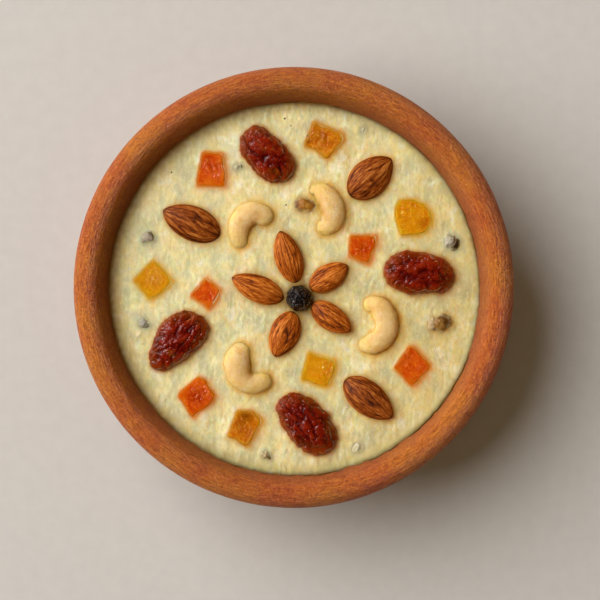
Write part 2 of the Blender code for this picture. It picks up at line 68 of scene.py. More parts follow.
# Almonds: x, y, rise, length, width, thickness, heading, bend, pitch, roll
ALMONDS = {
    "almond_west": (-37.3, 23.5, 0.5, 22.6, 12.8, 6.4, 155.2, 0.2, 2.0, -3.0),
    "almond_north": (27.9, 40.1, 0.5, 20.3, 13.6, 6.6, 40.5, 0.4, -2.0, 4.0),
    "almond_south": (27.1, -40.4, 0.5, 22.2, 12.2, 6.3, -41.0, 0.6, 3.0, 2.0),
    "petal_one": (-2.1, 11.1, 0.5, 19.9, 10.0, 5.8, 108.6, -0.3, 4.0, 0.0),
    "petal_two": (12.7, 3.8, 0.5, 16.2, 9.6, 5.6, 31.2, 0.2, 3.0, -4.0),
    "petal_three": (13.5, -10.9, 0.5, 17.4, 9.4, 5.6, -39.0, 0.9, 4.0, 3.0),
    "petal_four": (-3.5, -17.0, 0.5, 17.8, 10.8, 5.9, -112.7, 0.0, 3.0, 0.0),
    "petal_five": (-13.2, -0.3, 0.5, 20.4, 9.9, 5.8, 158.2, -0.3, 3.0, 3.0),
}
ALMOND_BLUNT = 0.58
ALMOND_POINT = 0.68

# Cashews: points along the middle line as x, y, radius, rise
CASHEWS = {
    "cashew_north_west": (
        (-19.5, 16.4, 2.8, -0.1), (-20.0, 19.2, 3.5, 0.2), (-19.8, 22.2, 3.9, 0.4), (-18.6, 24.9, 4.2, 0.5),
        (-16.2, 26.8, 4.2, 0.5), (-13.4, 27.1, 4.0, 0.4), (-10.8, 26.1, 3.7, 0.2),
    ),
    "cashew_north_east": (
        (6.6, 35.0, 1.9, -0.3), (8.1, 35.2, 2.8, -0.1), (10.6, 34.2, 3.8, 0.3), (13.0, 31.6, 4.3, 0.5),
        (14.3, 27.8, 4.5, 0.5), (13.8, 24.5, 4.2, 0.4), (11.9, 22.3, 3.5, 0.0), (10.0, 21.6, 2.8, -0.3),
    ),
    "cashew_east": (
        (26.8, -6.6, 2.3, 0.0), (28.6, -6.3, 3.3, 0.1), (30.6, -6.9, 3.9, 0.3), (32.6, -8.9, 4.2, 0.5),
        (33.9, -12.2, 4.2, 0.5), (33.7, -15.8, 4.2, 0.5), (31.8, -18.8, 4.1, 0.4), (28.9, -20.4, 3.9, 0.2),
        (26.6, -20.9, 3.3, 0.0), (24.9, -20.8, 2.5, -0.2),
    ),
    "cashew_south_west": (
        (-18.9, -22.3, 3.4, -0.1), (-20.0, -24.6, 4.4, 0.3), (-20.5, -27.4, 4.8, 0.5),
        (-20.2, -30.3, 4.6, 0.5), (-18.8, -33.2, 4.2, 0.4), (-16.2, -34.9, 3.8, 0.3),
        (-13.2, -34.8, 3.8, 0.2), (-10.9, -33.9, 3.4, 0.0),
    ),
}
CASHEW_FLATNESS = 0.68

# Large raisins: x, y, rise, length, width, thickness, heading, squareness, taper
RAISINS = {
    "raisin_north": (-9.6, 48.1, 0.5, 24.2, 14.6, 6.5, 131.5, 2.3, 0.02),
    "raisin_east": (45.4, 5.1, 0.5, 25.3, 15.6, 6.5, 172.0, 2.3, 0.03),
    "raisin_west": (-42.2, -19.5, 0.5, 25.2, 15.8, 6.5, 49.5, 2.2, 0.10),
    "raisin_south": (4.6, -49.4, 0.5, 26.4, 15.8, 6.5, 131.0, 2.25, -0.02),
}

# How far each raisin reaches, as a share of its oval, at 24 even turns from its head
RAISIN_REACH = {
    "raisin_north": (
        0.98, 0.99, 0.99, 1.03, 1.03, 1.03, 1.05, 1.01, 1.03, 1.02, 0.96, 0.95,
        0.97, 0.97, 1.01, 1.01, 0.97, 0.97, 0.95, 0.91, 0.90, 0.91, 1.01, 1.01,
    ),
    "raisin_east": (
        1.02, 1.01, 1.01, 1.02, 1.03, 1.04, 0.99, 0.96, 0.93, 0.95, 1.01, 1.03,
        1.01, 1.00, 1.03, 1.03, 1.00, 1.01, 1.02, 1.01, 1.01, 1.04, 1.00, 1.00,
    ),
    "raisin_west": (
        0.98, 0.97, 1.02, 1.02, 1.05, 1.10, 1.09, 1.06, 1.04, 1.00, 0.99, 1.06,
        1.06, 1.00, 0.89, 0.83, 0.84, 0.87, 0.87, 0.93, 0.93, 1.00, 1.06, 1.04,
    ),
    "raisin_south": (
        0.97, 1.03, 1.02, 1.00, 0.99, 1.01, 1.06, 1.07, 1.06, 1.03, 1.01, 1.00,
        1.02, 1.01, 1.01, 1.00, 1.00, 1.02, 0.98, 0.99, 0.98, 0.98, 0.96, 0.97,
    ),
}

# The black raisin in the middle: x, y, rise, diameter, thickness
CURRANT = (1.9, -3.9, 0.8, 9.4, 7.0)

# Candied fruit: rise of the top, tilt east, tilt north, corners of the top
DICE = {
    "orange_north_west": (0.6, 1.5, 1.0, (
        (-33.5, 49.5), (-26.1, 49.0), (-24.6, 41.3), (-25.2, 36.6), (-35.5, 37.0), (-35.6, 39.3),
    )),
    "orange_middle": (0.5, -1.5, 1.0, (
        (20.1, 19.0), (30.1, 19.2), (29.9, 15.6), (27.5, 8.5), (26.0, 8.6), (19.7, 11.1),
    )),
    "orange_west": (0.4, 1.0, -1.5, (
        (-32.1, 3.8), (-26.6, -0.8), (-27.7, -4.0), (-30.3, -8.1), (-31.6, -7.9), (-34.1, -5.7),
        (-37.8, -3.3), (-37.4, -2.0),
    )),
    "orange_south_west": (0.7, 1.5, 2.0, (
        (-35.1, -32.4), (-32.1, -33.5), (-30.8, -36.3), (-28.4, -39.5), (-29.3, -41.4), (-36.6, -47.3),
        (-37.6, -47.0), (-39.4, -43.7), (-42.4, -39.5), (-41.5, -37.7),
    )),
    "orange_east": (0.6, -1.5, 1.5, (
        (41.7, -21.2), (43.5, -21.3), (49.6, -28.0), (49.3, -29.3), (46.9, -32.7), (43.7, -35.9),
        (42.4, -35.8), (39.7, -33.0), (36.3, -29.3), (36.8, -28.2),
    )),
    "yellow_west": (0.4, 1.0, -1.0, (
        (-51.4, 10.4), (-47.3, 6.5), (-44.1, 2.1), (-44.9, 0.8), (-51.1, -4.3), (-52.9, -4.2), (-58.6, 2.4),
        (-58.3, 3.2),
    )),
    "yellow_north_east": (0.6, -1.0, -1.5, (
        (37.6, 31.6), (40.0, 32.2), (43.8, 32.3), (47.9, 30.1), (50.4, 26.6), (50.5, 24.0), (48.3, 20.3),
        (44.5, 19.0), (38.7, 18.8), (36.8, 24.9), (36.5, 28.6),
    )),
    "yellow_south": (0.5, 1.0, 1.0, (
        (5.0, -23.4), (14.6, -26.2), (15.2, -27.8), (14.9, -30.7), (12.7, -36.3), (11.1, -36.5),
        (2.9, -33.8), (2.5, -32.6),
    )),
    "amber_north": (0.4, 1.5, 1.0, (
        (6.9, 60.6), (17.3, 56.4), (18.3, 53.7), (16.5, 51.3), (12.3, 47.0), (11.3, 47.0), (7.7, 50.2),
        (3.6, 51.2), (3.9, 52.9),
    )),
    "amber_south": (0.5, -1.5, -1.0, (
        (-20.9, -44.7), (-15.5, -44.5), (-11.3, -48.0), (-12.0, -50.2), (-16.6, -57.7), (-17.8, -57.8),
        (-20.9, -55.4), (-24.4, -54.2), (-23.8, -52.3),
    )),
}
DICE_DEPTH = 5.6
DICE_EDGE = 1.3
DICE_CORNER = 0.9
DICE_SPREAD = 0.35
# Painted glow of light through the pieces, laid at their rims
DICE_RIM_GLOWS = {"orange": "#EA720A", "yellow": "#EEA31C", "amber": "#DA8C12"}

# Deeper or paler places of a piece: x and y from its middle, how far it reaches, colour, strength
DICE_TONES = {
    "orange_north_west": ((-1.0, 2.6, 3.2, "#B83A04", 0.6), (0.5, -4.6, 2.2, "#DE7410", 0.6)),
    "orange_middle": ((-0.8, 0.4, 2.6, "#AE3002", 0.7),),
    "orange_west": ((-0.4, -0.3, 2.4, "#C03E04", 0.4),),
    "orange_south_west": ((-0.2, 0.2, 3.0, "#A42602", 0.85),),
    "orange_east": ((-1.4, 3.8, 2.6, "#B44204", 0.5), (0.0, -5.0, 2.4, "#D87A14", 0.5)),
    "yellow_west": ((0.0, -4.6, 2.6, "#DC9C08", 0.5), (0.4, 1.2, 2.6, "#CE8A34", 0.4)),
    "yellow_north_east": ((5.0, -3.2, 3.2, "#B86204", 0.9), (-4.0, -5.4, 2.6, "#DCA010", 0.5)),
    "yellow_south": ((3.4, -3.6, 3.0, "#BC7C04", 0.5), (-4.6, 2.6, 2.6, "#D8A020", 0.4)),
    "amber_north": (
        (-6.2, 1.2, 1.1, "#4A2004", 0.9), (-1.5, 2.5, 3.0, "#8E4A04", 0.5), (5.5, -2.0, 2.6, "#D48A10", 0.5),
        (-2.0, -4.2, 2.2, "#D69A20", 0.6),
    ),
    "amber_south": (
        (0.8, 5.4, 2.6, "#783C04", 0.85), (-1.8, 1.4, 2.6, "#94500A", 0.5), (4.4, -3.6, 2.8, "#DA8E10", 0.8),
    ),
}

# Wet, lumpy places of a piece: x and y from its middle and how far it reaches
DICE_WET = {
    "orange_north_west": ((2.4, 0.6, 3.0), (-0.6, 1.8, 2.4)),
    "orange_middle": ((1.8, 1.6, 3.0), (-1.6, -1.0, 2.0)),
    "orange_west": ((2.2, 0.2, 2.4),),
    "orange_south_west": ((1.8, 2.2, 3.2), (1.0, -0.4, 1.8)),
    "orange_east": ((3.1, 0.4, 2.2), (-2.6, 3.8, 2.2)),
    "yellow_west": ((0.2, 1.2, 3.0),),
    "yellow_north_east": ((-1.4, 0.8, 3.6),),
    "yellow_south": ((1.8, 1.0, 2.8),),
    "amber_north": ((-3.6, 4.2, 2.6), (1.4, 0.4, 3.6)),
    "amber_south": ((1.0, -1.6, 3.2),),
}

# Lobes of the seeds: x, y, height over the level, long, short and upright radius, heading, pale colour,
# dark colour, the way its dark side faces, share that is dark, and the stain, with painted shadow, it leaves in
# the milk
SEED_LOBES = (
    (-53.0, 18.4, 1.3, 2.3, 2.0, 1.7, 20.0, "#B4A794", "#4E3A28", 50.0, 0.3, "husk"),
    (-54.4, 17.4, 0.7, 1.4, 1.2, 1.3, 60.0, "#A89C84", "#857658", 50.0, 0.2, "husk"),
    (56.7, 16.8, 1.6, 2.6, 2.4, 1.9, 70.0, "#B4AC98", "#7A6648", 60.0, 0.2, "husk"),
    (58.6, 15.8, 1.3, 2.6, 1.7, 1.6, 62.0, "#6A5236", "#3E2810", -20.0, 0.5, "husk"),
    (-55.1, -12.9, 0.8, 2.2, 1.8, 1.3, 80.0, "#ADA898", "#8D866F", -40.0, 0.3, "husk"),
    (-53.7, -14.0, 0.5, 1.4, 1.1, 1.0, 40.0, "#958D78", "#746C58", -40.0, 0.4, "husk"),
    (50.7, -13.4, 1.2, 2.8, 2.3, 1.7, 100.0, "#B89C74", "#8A6C42", -30.0, 0.3, "syrup"),
    (53.6, -12.8, 1.8, 3.5, 3.0, 2.0, 30.0, "#94692A", "#6A420E", 40.0, 0.4, "syrup"),
    (4.4, 30.0, 1.05, 4.9, 2.8, 1.75, -7.0, "#B47C24", "#845010", 60.0, 0.4, "syrup"),
    (2.9, 30.2, 1.15, 3.1, 2.95, 1.8, -12.0, "#AC7226", "#744610", 190.0, 0.3, "syrup"),
    (-10.6, -61.0, 0.8, 2.0, 1.7, 1.4, 20.0, "#BCA67C", "#9A8154", -40.0, 0.3, "husk"),
    (-9.2, -61.9, 0.5, 1.2, 1.0, 0.9, -40.0, "#8E7444", "#6C5428", 0.0, 0.5, "husk"),
    (-21.0, 43.9, 0.5, 1.7, 1.4, 1.2, 0.0, "#C6C09C", "#A5A080", -40.0, 0.2, "husk"),
    (-19.2, 44.3, 0.4, 1.2, 0.6, 0.9, 100.0, "#8A8458", "#6A6440", 0.0, 0.5, "husk"),
    (25.2, 57.5, 0.15, 1.8, 1.4, 1.3, 60.0, "#BDB898", "#9C987A", 50.0, 0.25, "husk"),
    (23.0, -58.3, 0.7, 2.5, 1.9, 1.6, 30.0, "#DAD3B0", "#BDB68E", -40.0, 0.25, "husk"),
)
SPECKS = ((-44.6, 41.9, 0.35), (-1.2, 58.9, 0.4), (-3.4, 61.5, 0.35), (5.0, 55.2, 0.35), (-2.9, 30.0, 0.3))

# How a topping colours the milk, partly a real stain and partly painted shadow and glow: colour, strength, reach,
# and how far the milk climbs it, in millimetres
STAINS_AND_SHADE = {
    "orange": ("#E27C10", 1.0, 0.98, 0.0),
    "yellow": ("#E4A41C", 1.0, 1.05, 0.0),
    "amber": ("#D48A14", 1.0, 1.15, 0.0),
    "raisin": ("#C88434", 0.9, 1.1, 0.2),
    "almond": ("#DAA454", 0.85, 1.3, 0.2),
    "petal": ("#CFA054", 0.85, 1.6, 0.2),
    "cashew": ("#E8AC38", 0.85, 1.5, 0.4),
    "currant": ("#74522A", 1.0, 2.6, 0.12),
    "husk": ("#A9A184", 0.7, 0.9, 0.2),
    "syrup": ("#C08C38", 0.85, 1.4, 0.2),
}

# A stain, partly painted shadow and glow, reaches further on the side away from the light by this share
STAIN_SHADE_LEAN = 0.52

# How much of a dice's height the milk is drawn up its sides, and how far and where it laps up the wall
DICE_CLIMB = 0.6
WALL_CREEP = 1.5
WALL_CREEP_DEG = -65.0

# The brown line of milk at the wall, partly a stain and partly painted shade, and inside it the painted warm
# shade of light thrown back by the clay
WALL_STAIN_AND_SHADE = "#74400C"
WALL_PAINTED_WARM_SHADE = "#B89C58"

# Light and camera
WORLD_COLOUR = "#FFE6B4"
WORLD_STRENGTH = 0.17
LAMP_SIZE = 3.1
GLOSS_SIZE = 1.4
LAMP_WATTS = 104.0
LAMP_COLOUR = "#FFFFFF"
LAMP_TURN_DEG = 155.0
LAMP_WAY = np.array((math.cos(math.radians(LAMP_TURN_DEG)), math.sin(math.radians(LAMP_TURN_DEG))))
LAMP_HEIGHT_DEG = 41.8
LAMP_DISTANCE = 2.45
CAMERA_RISE = 1600.0
VIEW_WIDTH = 217.1
VIEW_CENTRE = (2.2, -4.55)
SENSOR_WIDTH = 36.0
TABLE_REACH = 1600.0
TABLE_DROP = 0.2

# Loose rice, in metres, and grains over each square metre
RICE = {
    "Spacing": 1.7 * MM, "Per Square Metre": 260000.0, "Length": 2.7 * MM, "Width": 1.0 * MM, "Sink": 0.46 * MM,
}

# The kinds of node that come again and again
NOISE, RAMP, RANGE = "ShaderNodeTexNoise", "ShaderNodeValToRGB", "ShaderNodeMapRange"
MIX, MATH, BUMP, MARK = "ShaderNodeMix", "ShaderNodeMath", "ShaderNodeBump", "ShaderNodeAttribute"


def colour(code):
    """A linear colour from an sRGB hex value."""
    parts = [int(code[i : i + 2], 16) / 255.0 for i in (1, 3, 5)]
    return (*[c / 12.92 if c <= 0.04045 else ((c + 0.055) / 1.055) ** 2.4 for c in parts], 1.0)


def per_mm(size):
    """The scale that gives a texture features of this many millimetres."""
    return 1.0 / (size * MM)


def add(tree, kind, inputs=None, stops=(), out=0, **settings):
    """Adds one node with its settings, its ramp's stops and its input values or links, and gives one output."""
    made = tree.nodes.new(kind)
    for key, value in settings.items():
        setattr(made, key, value)
    for _ in stops[2:]:
        made.color_ramp.elements.new(0.5)
    for k, (place, code) in enumerate(stops):
        made.color_ramp.elements[k].position = place
        made.color_ramp.elements[k].color = colour(code)
    for key, value in (inputs or {}).items():
        if isinstance(value, bpy.types.NodeSocket):
            tree.links.new(value, made.inputs[key])
        else:
            made.inputs[key].default_value = value
    return made.outputs[out] if made.outputs else None


def laid_over(tree, base, code, pattern, low, high, share_low, share_high):
    """A colour laid over another, its share led from one value to another between two values of a pattern."""
    share = add(tree, RANGE, {
        "Value": pattern, "From Min": low, "From Max": high, "To Min": share_low, "To Max": share_high,
    })
    return add(tree, MIX, {0: share, 6: base, 7: colour(code)}, out=2, data_type="RGBA")


def start_material(name, **values):
    """A new material with its main shader's values set, its tree, and its object coordinates."""
    material = bpy.data.materials.new(name)
    material.use_nodes = True
    for key, value in values.items():
        material.node_tree.nodes["Principled BSDF"].inputs[key.replace("_", " ")].default_value = value
    return material, material.node_tree, add(material.node_tree, "ShaderNodeTexCoord", out="Object")


def connect(tree, **sockets):
    """Links each output to the main shader's input of that name."""
    for key, socket in sockets.items():
        tree.links.new(socket, tree.nodes["Principled BSDF"].inputs[key.replace("_", " ")])


def terracotta():
    """Earthenware thrown on a wheel and rubbed smooth: orange clay, a low sheen, fine grit and finger lines."""
    material, tree, spot = start_material("thrown_terracotta", Roughness=0.44, IOR=1.5, Specular_IOR_Level=0.38)
    broad = add(tree, NOISE, {"Vector": spot, "Scale": per_mm(16.0), "Detail": 3.0})
    body = add(tree, RAMP, {"Fac": broad}, [(0.36, "#B64404"), (0.5, "#C05E08"), (0.64, "#CC7A10")])
    turned = add(tree, MARK, out="Vector", attribute_name="turned")
    drawn = add(tree, "ShaderNodeMapping", {"Vector": turned, "Scale": (19.0, 19.0, 1.7)})
    streaks = add(tree, NOISE, {"Vector": drawn, "Scale": 1.0, "Detail": 4.0, "Roughness": 0.68})
    streak = add(tree, RAMP, {"Fac": streaks}, [(0.36, "#8A3200"), (0.5, "#C05E08"), (0.66, "#E08C26")])
    streaked = add(tree, MIX, {0: 0.6, 6: body, 7: streak}, out=2, data_type="RGBA")
    sand = add(tree, NOISE, {"Vector": spot, "Scale": per_mm(0.85), "Detail": 4.0, "Roughness": 0.75})
    dusted = laid_over(tree, streaked, "#D88038", sand, 0.52, 0.7, 0.0, 0.75)
    gritty = laid_over(tree, dusted, "#682200", sand, 0.33, 0.47, 0.65, 0.0)
    damp = add(tree, RANGE, {
        "Value": add(tree, "ShaderNodeSeparateXYZ", {"Vector": spot}, out="Z"),
        "From Min": (LEVEL + 0.2) * MM, "From Max": (LEVEL + 7.0) * MM, "To Min": 0.75, "To Max": 0.0,
    })
    inside = add(tree, MARK, out="Fac", attribute_name="inside")
    damp_inside = add(tree, MATH, {0: damp, 1: inside}, operation="MULTIPLY")
    wetted = add(tree, MIX, {0: damp_inside, 6: gritty, 7: colour("#853F10")}, out=2, data_type="RGBA")
    ripple = add(tree, NOISE, {
        "Vector": spot, "Scale": per_mm(1.9), "Detail": 5.0, "Roughness": 0.75, "Distortion": 0.6,
    })
    relief = add(tree, MATH, {0: ripple, 1: streaks}, operation="ADD")
    bump = add(tree, BUMP, {"Height": relief, "Strength": 1.0, "Distance": 0.95 * MM})
    connect(tree, Base_Color=wetted, Normal=bump)
    return material


def cooked_cream():
    """Milk boiled thick with broken rice: soft, faintly clear, cream with yellow patches, with painted shade that
    makes it darker to the east and whiter to the west.
    """
    material, tree, spot = start_material(
        "boiled_milk_and_rice", Roughness=0.38, IOR=1.4, Subsurface_Weight=0.85, Subsurface_Scale=4.2 * MM,
        Subsurface_Radius=(1.0, 0.58, 0.22),
    )
    broad = add(tree, NOISE, {"Vector": spot, "Scale": per_mm(8.0), "Detail": 3.0, "Roughness": 0.6})
    patches = add(
        tree, RAMP, {"Fac": broad}, [(0.33, "#D6CFA4"), (0.45, "#E8E0B4"), (0.56, "#F0E1A2"), (0.67, "#FCF6DA")]
    )
    turned = add(tree, "ShaderNodeMapping", {
        "Vector": spot, "Rotation": (0.0, 0.0, math.radians(16.0)), "Scale": (1.0, 0.46, 1.0),
    })
    mottle = add(tree, NOISE, {"Vector": turned, "Scale": per_mm(3.4), "Detail": 1.0})
    grain = add(tree, NOISE, {"Vector": turned, "Scale": per_mm(1.3), "Detail": 3.0, "Roughness": 0.7})
    milk = laid_over(tree, patches, "#F2D998", mottle, 0.5, 0.7, 0.0, 0.45)
    milk = laid_over(tree, milk, "#D2CC9E", mottle, 0.3, 0.5, 0.62, 0.0)
    # Pale crests and darker hollows of the rice, partly the rice's own whiter colour and partly painted highlight
    # and shade of its relief
    milk = laid_over(tree, milk, "#FCF3C8", grain, 0.52, 0.7, 0.0, 0.75)
    milk = laid_over(tree, milk, "#CFC59A", grain, 0.3, 0.48, 0.55, 0.0)
    # Painted shade: the milk is made darker towards the east and whiter to the west
    toward_painted_shade = (math.cos(PAINTED_SHADE_TURN), math.sin(PAINTED_SHADE_TURN), 0.0)
    across = add(tree, "ShaderNodeVectorMath", {0: spot, 1: toward_painted_shade}, out="Value", operation="DOT_PRODUCT")
    painted_shade_share = add(tree, RANGE, {
        "Value": across, "From Min": -EDGE_RADIUS * MM, "From Max": EDGE_RADIUS * MM,
    })
    tone_and_painted_light = add(tree, RAMP, {"Fac": painted_shade_share}, [
        (0.05, "#FFFFFF"), (0.35, "#FBFAF8"), (0.66, "#F8F7F2"), (0.95, "#ECE5D4"),
    ])
    toned = add(tree, MIX, {0: 1.0, 6: milk, 7: tone_and_painted_light}, out=2, data_type="RGBA", blend_type="MULTIPLY")
    # Stains of the toppings and the wall, with painted shadow, glow and shade
    stain_and_shade = add(tree, MARK, attribute_name="stain_and_shade").node.outputs
    stained_and_shaded = add(tree, MIX, {0: stain_and_shade["Alpha"], 6: toned, 7: stain_and_shade["Color"]}, out=2, data_type="RGBA")
    dull = add(tree, RANGE, {
        "Value": stain_and_shade["Alpha"], "From Min": 0.2, "From Max": 0.9, "To Min": 0.32, "To Max": 0.0,
    })
    bump = add(tree, BUMP, {"Height": grain, "Strength": 0.8, "Distance": 0.35 * MM})
    connect(tree, Base_Color=stained_and_shaded, Specular_IOR_Level=dull, Normal=bump)
    return material


def boiled_rice():
    """A boiled grain of short rice: white, moist and slightly clear."""
    material, tree, spot = start_material(
        "boiled_rice_grain", Roughness=0.55, IOR=1.42, Specular_IOR_Level=0.15, Subsurface_Weight=0.3,
        Subsurface_Scale=1.2 * MM, Subsurface_Radius=(1.0, 0.8, 0.5),
    )
    cloudy = add(tree, NOISE, {"Vector": spot, "Scale": per_mm(3.0), "Detail": 2.0})
    connect(tree, Base_Color=add(tree, RAMP, {"Fac": cloudy}, [(0.35, "#DDD2A8"), (0.65, "#E9E0BE")]))
    return material


def almond_skin(name, groove, body, ridge):
    """The papery brown skin of a whole almond: long thin dark grooves, dusty grain between them, dark ends."""
    material, tree, _ = start_material(name, Roughness=0.55, IOR=1.45, Specular_IOR_Level=0.09)
    relief = add(tree, MARK, out="Fac", attribute_name="relief")
    run = add(tree, "ShaderNodeUVMap", uv_map="skin")
    fibre_run = add(tree, "ShaderNodeMapping", {"Vector": run, "Scale": (7.0, 44.0, 1.0)})
    fibre = add(tree, NOISE, {"Vector": fibre_run, "Scale": 1.0, "Detail": 2.0, "Roughness": 0.6})
    broken = add(tree, RANGE, {
        "Value": fibre, "From Min": 0.3, "From Max": 0.7, "To Min": -0.2, "To Max": 0.2,
    })
    height = add(tree, MATH, {0: relief, 1: broken}, operation="ADD")
    tint = add(tree, RAMP, {"Fac": height}, [(0.05, groove), (0.5, body), (0.95, ridge)])
    ends = add(tree, MARK, out="Fac", attribute_name="ends")
    ended = add(tree, MIX, {0: ends, 6: tint, 7: colour("#2E1004")}, out=2, data_type="RGBA")
    bump = add(tree, BUMP, {"Height": fibre, "Strength": 0.5, "Distance": 0.15 * MM})
    connect(tree, Base_Color=ended, Normal=bump)
    return material


def cashew_flesh():
    """A cashew fried lightly in butter: smooth, pale gold, a little clear; tan in the bend, partly its own colour
    and partly painted shade; a painted golden glow of light through the nut low down.
    """
    material, tree, spot = start_material(
        "fried_cashew", Roughness=0.55, IOR=1.45, Specular_IOR_Level=0.12, Subsurface_Weight=1.0,
        Subsurface_Scale=5.4 * MM, Subsurface_Radius=(1.0, 0.8, 0.24),
    )
    cloudy = add(tree, NOISE, {"Vector": spot, "Scale": per_mm(3.0), "Detail": 3.0, "Roughness": 0.65})
    flesh = add(tree, RAMP, {"Fac": cloudy}, [(0.32, "#D7B074"), (0.5, "#E0C08A"), (0.7, "#E7CEA0")])
    # The low mark is a painted glow of light through the nut; the bend mark is tan, partly the nut's colour and
    # partly painted shade in the crease
    for mark, code in (("low", "#FFC45C"), ("bend", "#B67A1C")):
        share = add(tree, MARK, out="Fac", attribute_name=mark)
        flesh = add(tree, MIX, {0: share, 6: flesh, 7: colour(code)}, out=2, data_type="RGBA")
    fine = add(tree, NOISE, {"Vector": spot, "Scale": per_mm(1.1), "Detail": 2.0, "Roughness": 0.6})
    bump = add(tree, BUMP, {"Height": fine, "Strength": 0.9, "Distance": 0.45 * MM})
    connect(tree, Base_Color=flesh, Normal=bump)
    return material


def raisin_skin():
    """The skin of a large raisin softened in hot milk: dark red and wet, clear brown where it is thin."""
    material, tree, spot = start_material(
        "soaked_raisin", Roughness=0.5, IOR=1.45, Specular_IOR_Level=0.03, Coat_Weight=1.0, Coat_Roughness=0.08,
        Coat_IOR=2.5, Subsurface_Weight=0.12, Subsurface_Scale=2.0 * MM, Subsurface_Radius=(1.0, 0.2, 0.05),
    )
    relief = add(tree, MARK, out="Fac", attribute_name="relief")
    tint = add(tree, RAMP, {"Fac": relief}, [(0.15, "#2E0100"), (0.5, "#640901"), (0.95, "#922205")])
    thin = add(tree, MARK, out="Fac", attribute_name="thin")
    cloudy = add(tree, NOISE, {"Vector": spot, "Scale": per_mm(5.5), "Detail": 3.0, "Roughness": 0.6})
    patch = add(tree, RANGE, {
        "Value": cloudy, "From Min": 0.35, "From Max": 0.62, "To Min": 0.3, "To Max": 0.9,
    })
    share = add(tree, MATH, {0: thin, 1: patch}, operation="MULTIPLY")
    window = add(tree, RANGE, {
        "Value": cloudy, "From Min": 0.62, "From Max": 0.72, "To Min": 0.0, "To Max": 0.7,
    })
    amber = add(tree, MATH, {0: share, 1: window}, operation="MAXIMUM")
    edged = add(tree, MIX, {0: amber, 6: tint, 7: colour("#8E4206")}, out=2, data_type="RGBA")
    wet = add(tree, RANGE, {
        "Value": thin, "From Min": 0.4, "From Max": 0.8, "To Min": 1.0, "To Max": 0.55,
    })
    crease = add(tree, NOISE, {
        "Vector": spot, "Scale": per_mm(2.0), "Detail": 1.0, "Roughness": 0.4, "Distortion": 0.8,
    })
    dull = add(tree, BUMP, {"Height": crease, "Strength": 0.5, "Distance": 0.3 * MM})
    glint = add(tree, BUMP, {"Height": crease, "Strength": 1.0, "Distance": 0.55 * MM})
    connect(tree, Base_Color=edged, Coat_Weight=wet, Normal=dull, Coat_Normal=glint)
    return material


def currant_skin():
    """A small black raisin: nearly black, finely wrinkled, moist on its folds."""
    material, tree, spot = start_material(
        "black_raisin", Roughness=0.5, IOR=1.45, Specular_IOR_Level=0.05, Coat_Weight=1.0, Coat_Roughness=0.12,
        Coat_IOR=2.0,
    )
    relief = add(tree, MARK, out="Fac", attribute_name="relief")
    tint = add(tree, RAMP, {"Fac": relief}, [(0.2, "#040201"), (0.65, "#0F0905"), (0.95, "#281D16")])
    crease = add(tree, NOISE, {"Vector": spot, "Scale": per_mm(1.2), "Detail": 1.0, "Distortion": 1.2})
    glint = add(tree, BUMP, {"Height": crease, "Strength": 1.0, "Distance": 0.5 * MM})
    connect(tree, Base_Color=tint, Coat_Normal=glint)
    return material


def candied(name, deep, body, pale, rim):
    """Fruit candied in sugar: clear and moist, with a grain of pulp that glints where the top is lumpy."""
    material, tree, spot = start_material(
        name, Roughness=0.45, IOR=1.45, Specular_IOR_Level=0.03, Subsurface_Weight=0.95,
        Subsurface_Scale=3.6 * MM, Coat_Roughness=0.12, Subsurface_Radius=(1.0, 0.45, 0.06),
    )
    broad = add(tree, NOISE, {"Vector": spot, "Scale": per_mm(3.6), "Detail": 3.0})
    tint = add(tree, RAMP, {"Fac": broad}, [(0.32, deep), (0.5, body), (0.72, rim)])
    # Deeper and paler places of the piece, and the painted glow at its rim
    tone_and_painted_light = add(tree, MARK, attribute_name="tone_and_painted_light").node.outputs
    toned = add(tree, MIX, {0: tone_and_painted_light["Alpha"], 6: tint, 7: tone_and_painted_light["Color"]}, out=2, data_type="RGBA")
    pulp = add(tree, NOISE, {
        "Vector": spot, "Scale": per_mm(1.2), "Detail": 1.5, "Roughness": 0.6, "Distortion": 0.8,
    })
    flecked = laid_over(tree, toned, pale, pulp, 0.5, 0.7, 0.0, 0.6)
    wet = add(tree, MARK, out="Fac", attribute_name="wet")
    dull = add(tree, BUMP, {"Height": pulp, "Strength": 0.8, "Distance": 0.5 * MM})
    glint = add(tree, BUMP, {"Height": pulp, "Strength": 1.0, "Distance": 0.55 * MM})
    connect(tree, Base_Color=flecked, Coat_Weight=wet, Normal=dull, Coat_Normal=glint)
    return material


def seed_skin():
    """The husk of a spice seed and a shred of dried fruit under a film of milk: dull, rough, moist on top."""
    material, tree, spot = start_material(
        "milky_seed_husk", Roughness=0.4, IOR=1.45, Specular_IOR_Level=0.25, Subsurface_Weight=0.15,
        Subsurface_Scale=1.0 * MM,
    )
    # The tint mark holds each lobe's colours, its dark side partly painted shade
    tint = add(tree, MARK, attribute_name="tint")
    cloudy = add(tree, NOISE, {"Vector": spot, "Scale": per_mm(0.9), "Detail": 3.0, "Roughness": 0.7})
    shade = add(tree, RANGE, {
        "Value": cloudy, "From Min": 0.3, "From Max": 0.7, "To Min": 0.0, "To Max": 0.5,
    })
    film = add(
        tree, MIX, {0: shade, 6: tint, 7: colour("#CFC4AC")}, out=2, data_type="RGBA", blend_type="MULTIPLY"
    )
    bump = add(tree, BUMP, {"Height": cloudy, "Strength": 0.7, "Distance": 0.3 * MM})
    connect(tree, Base_Color=film, Normal=bump)
    return material


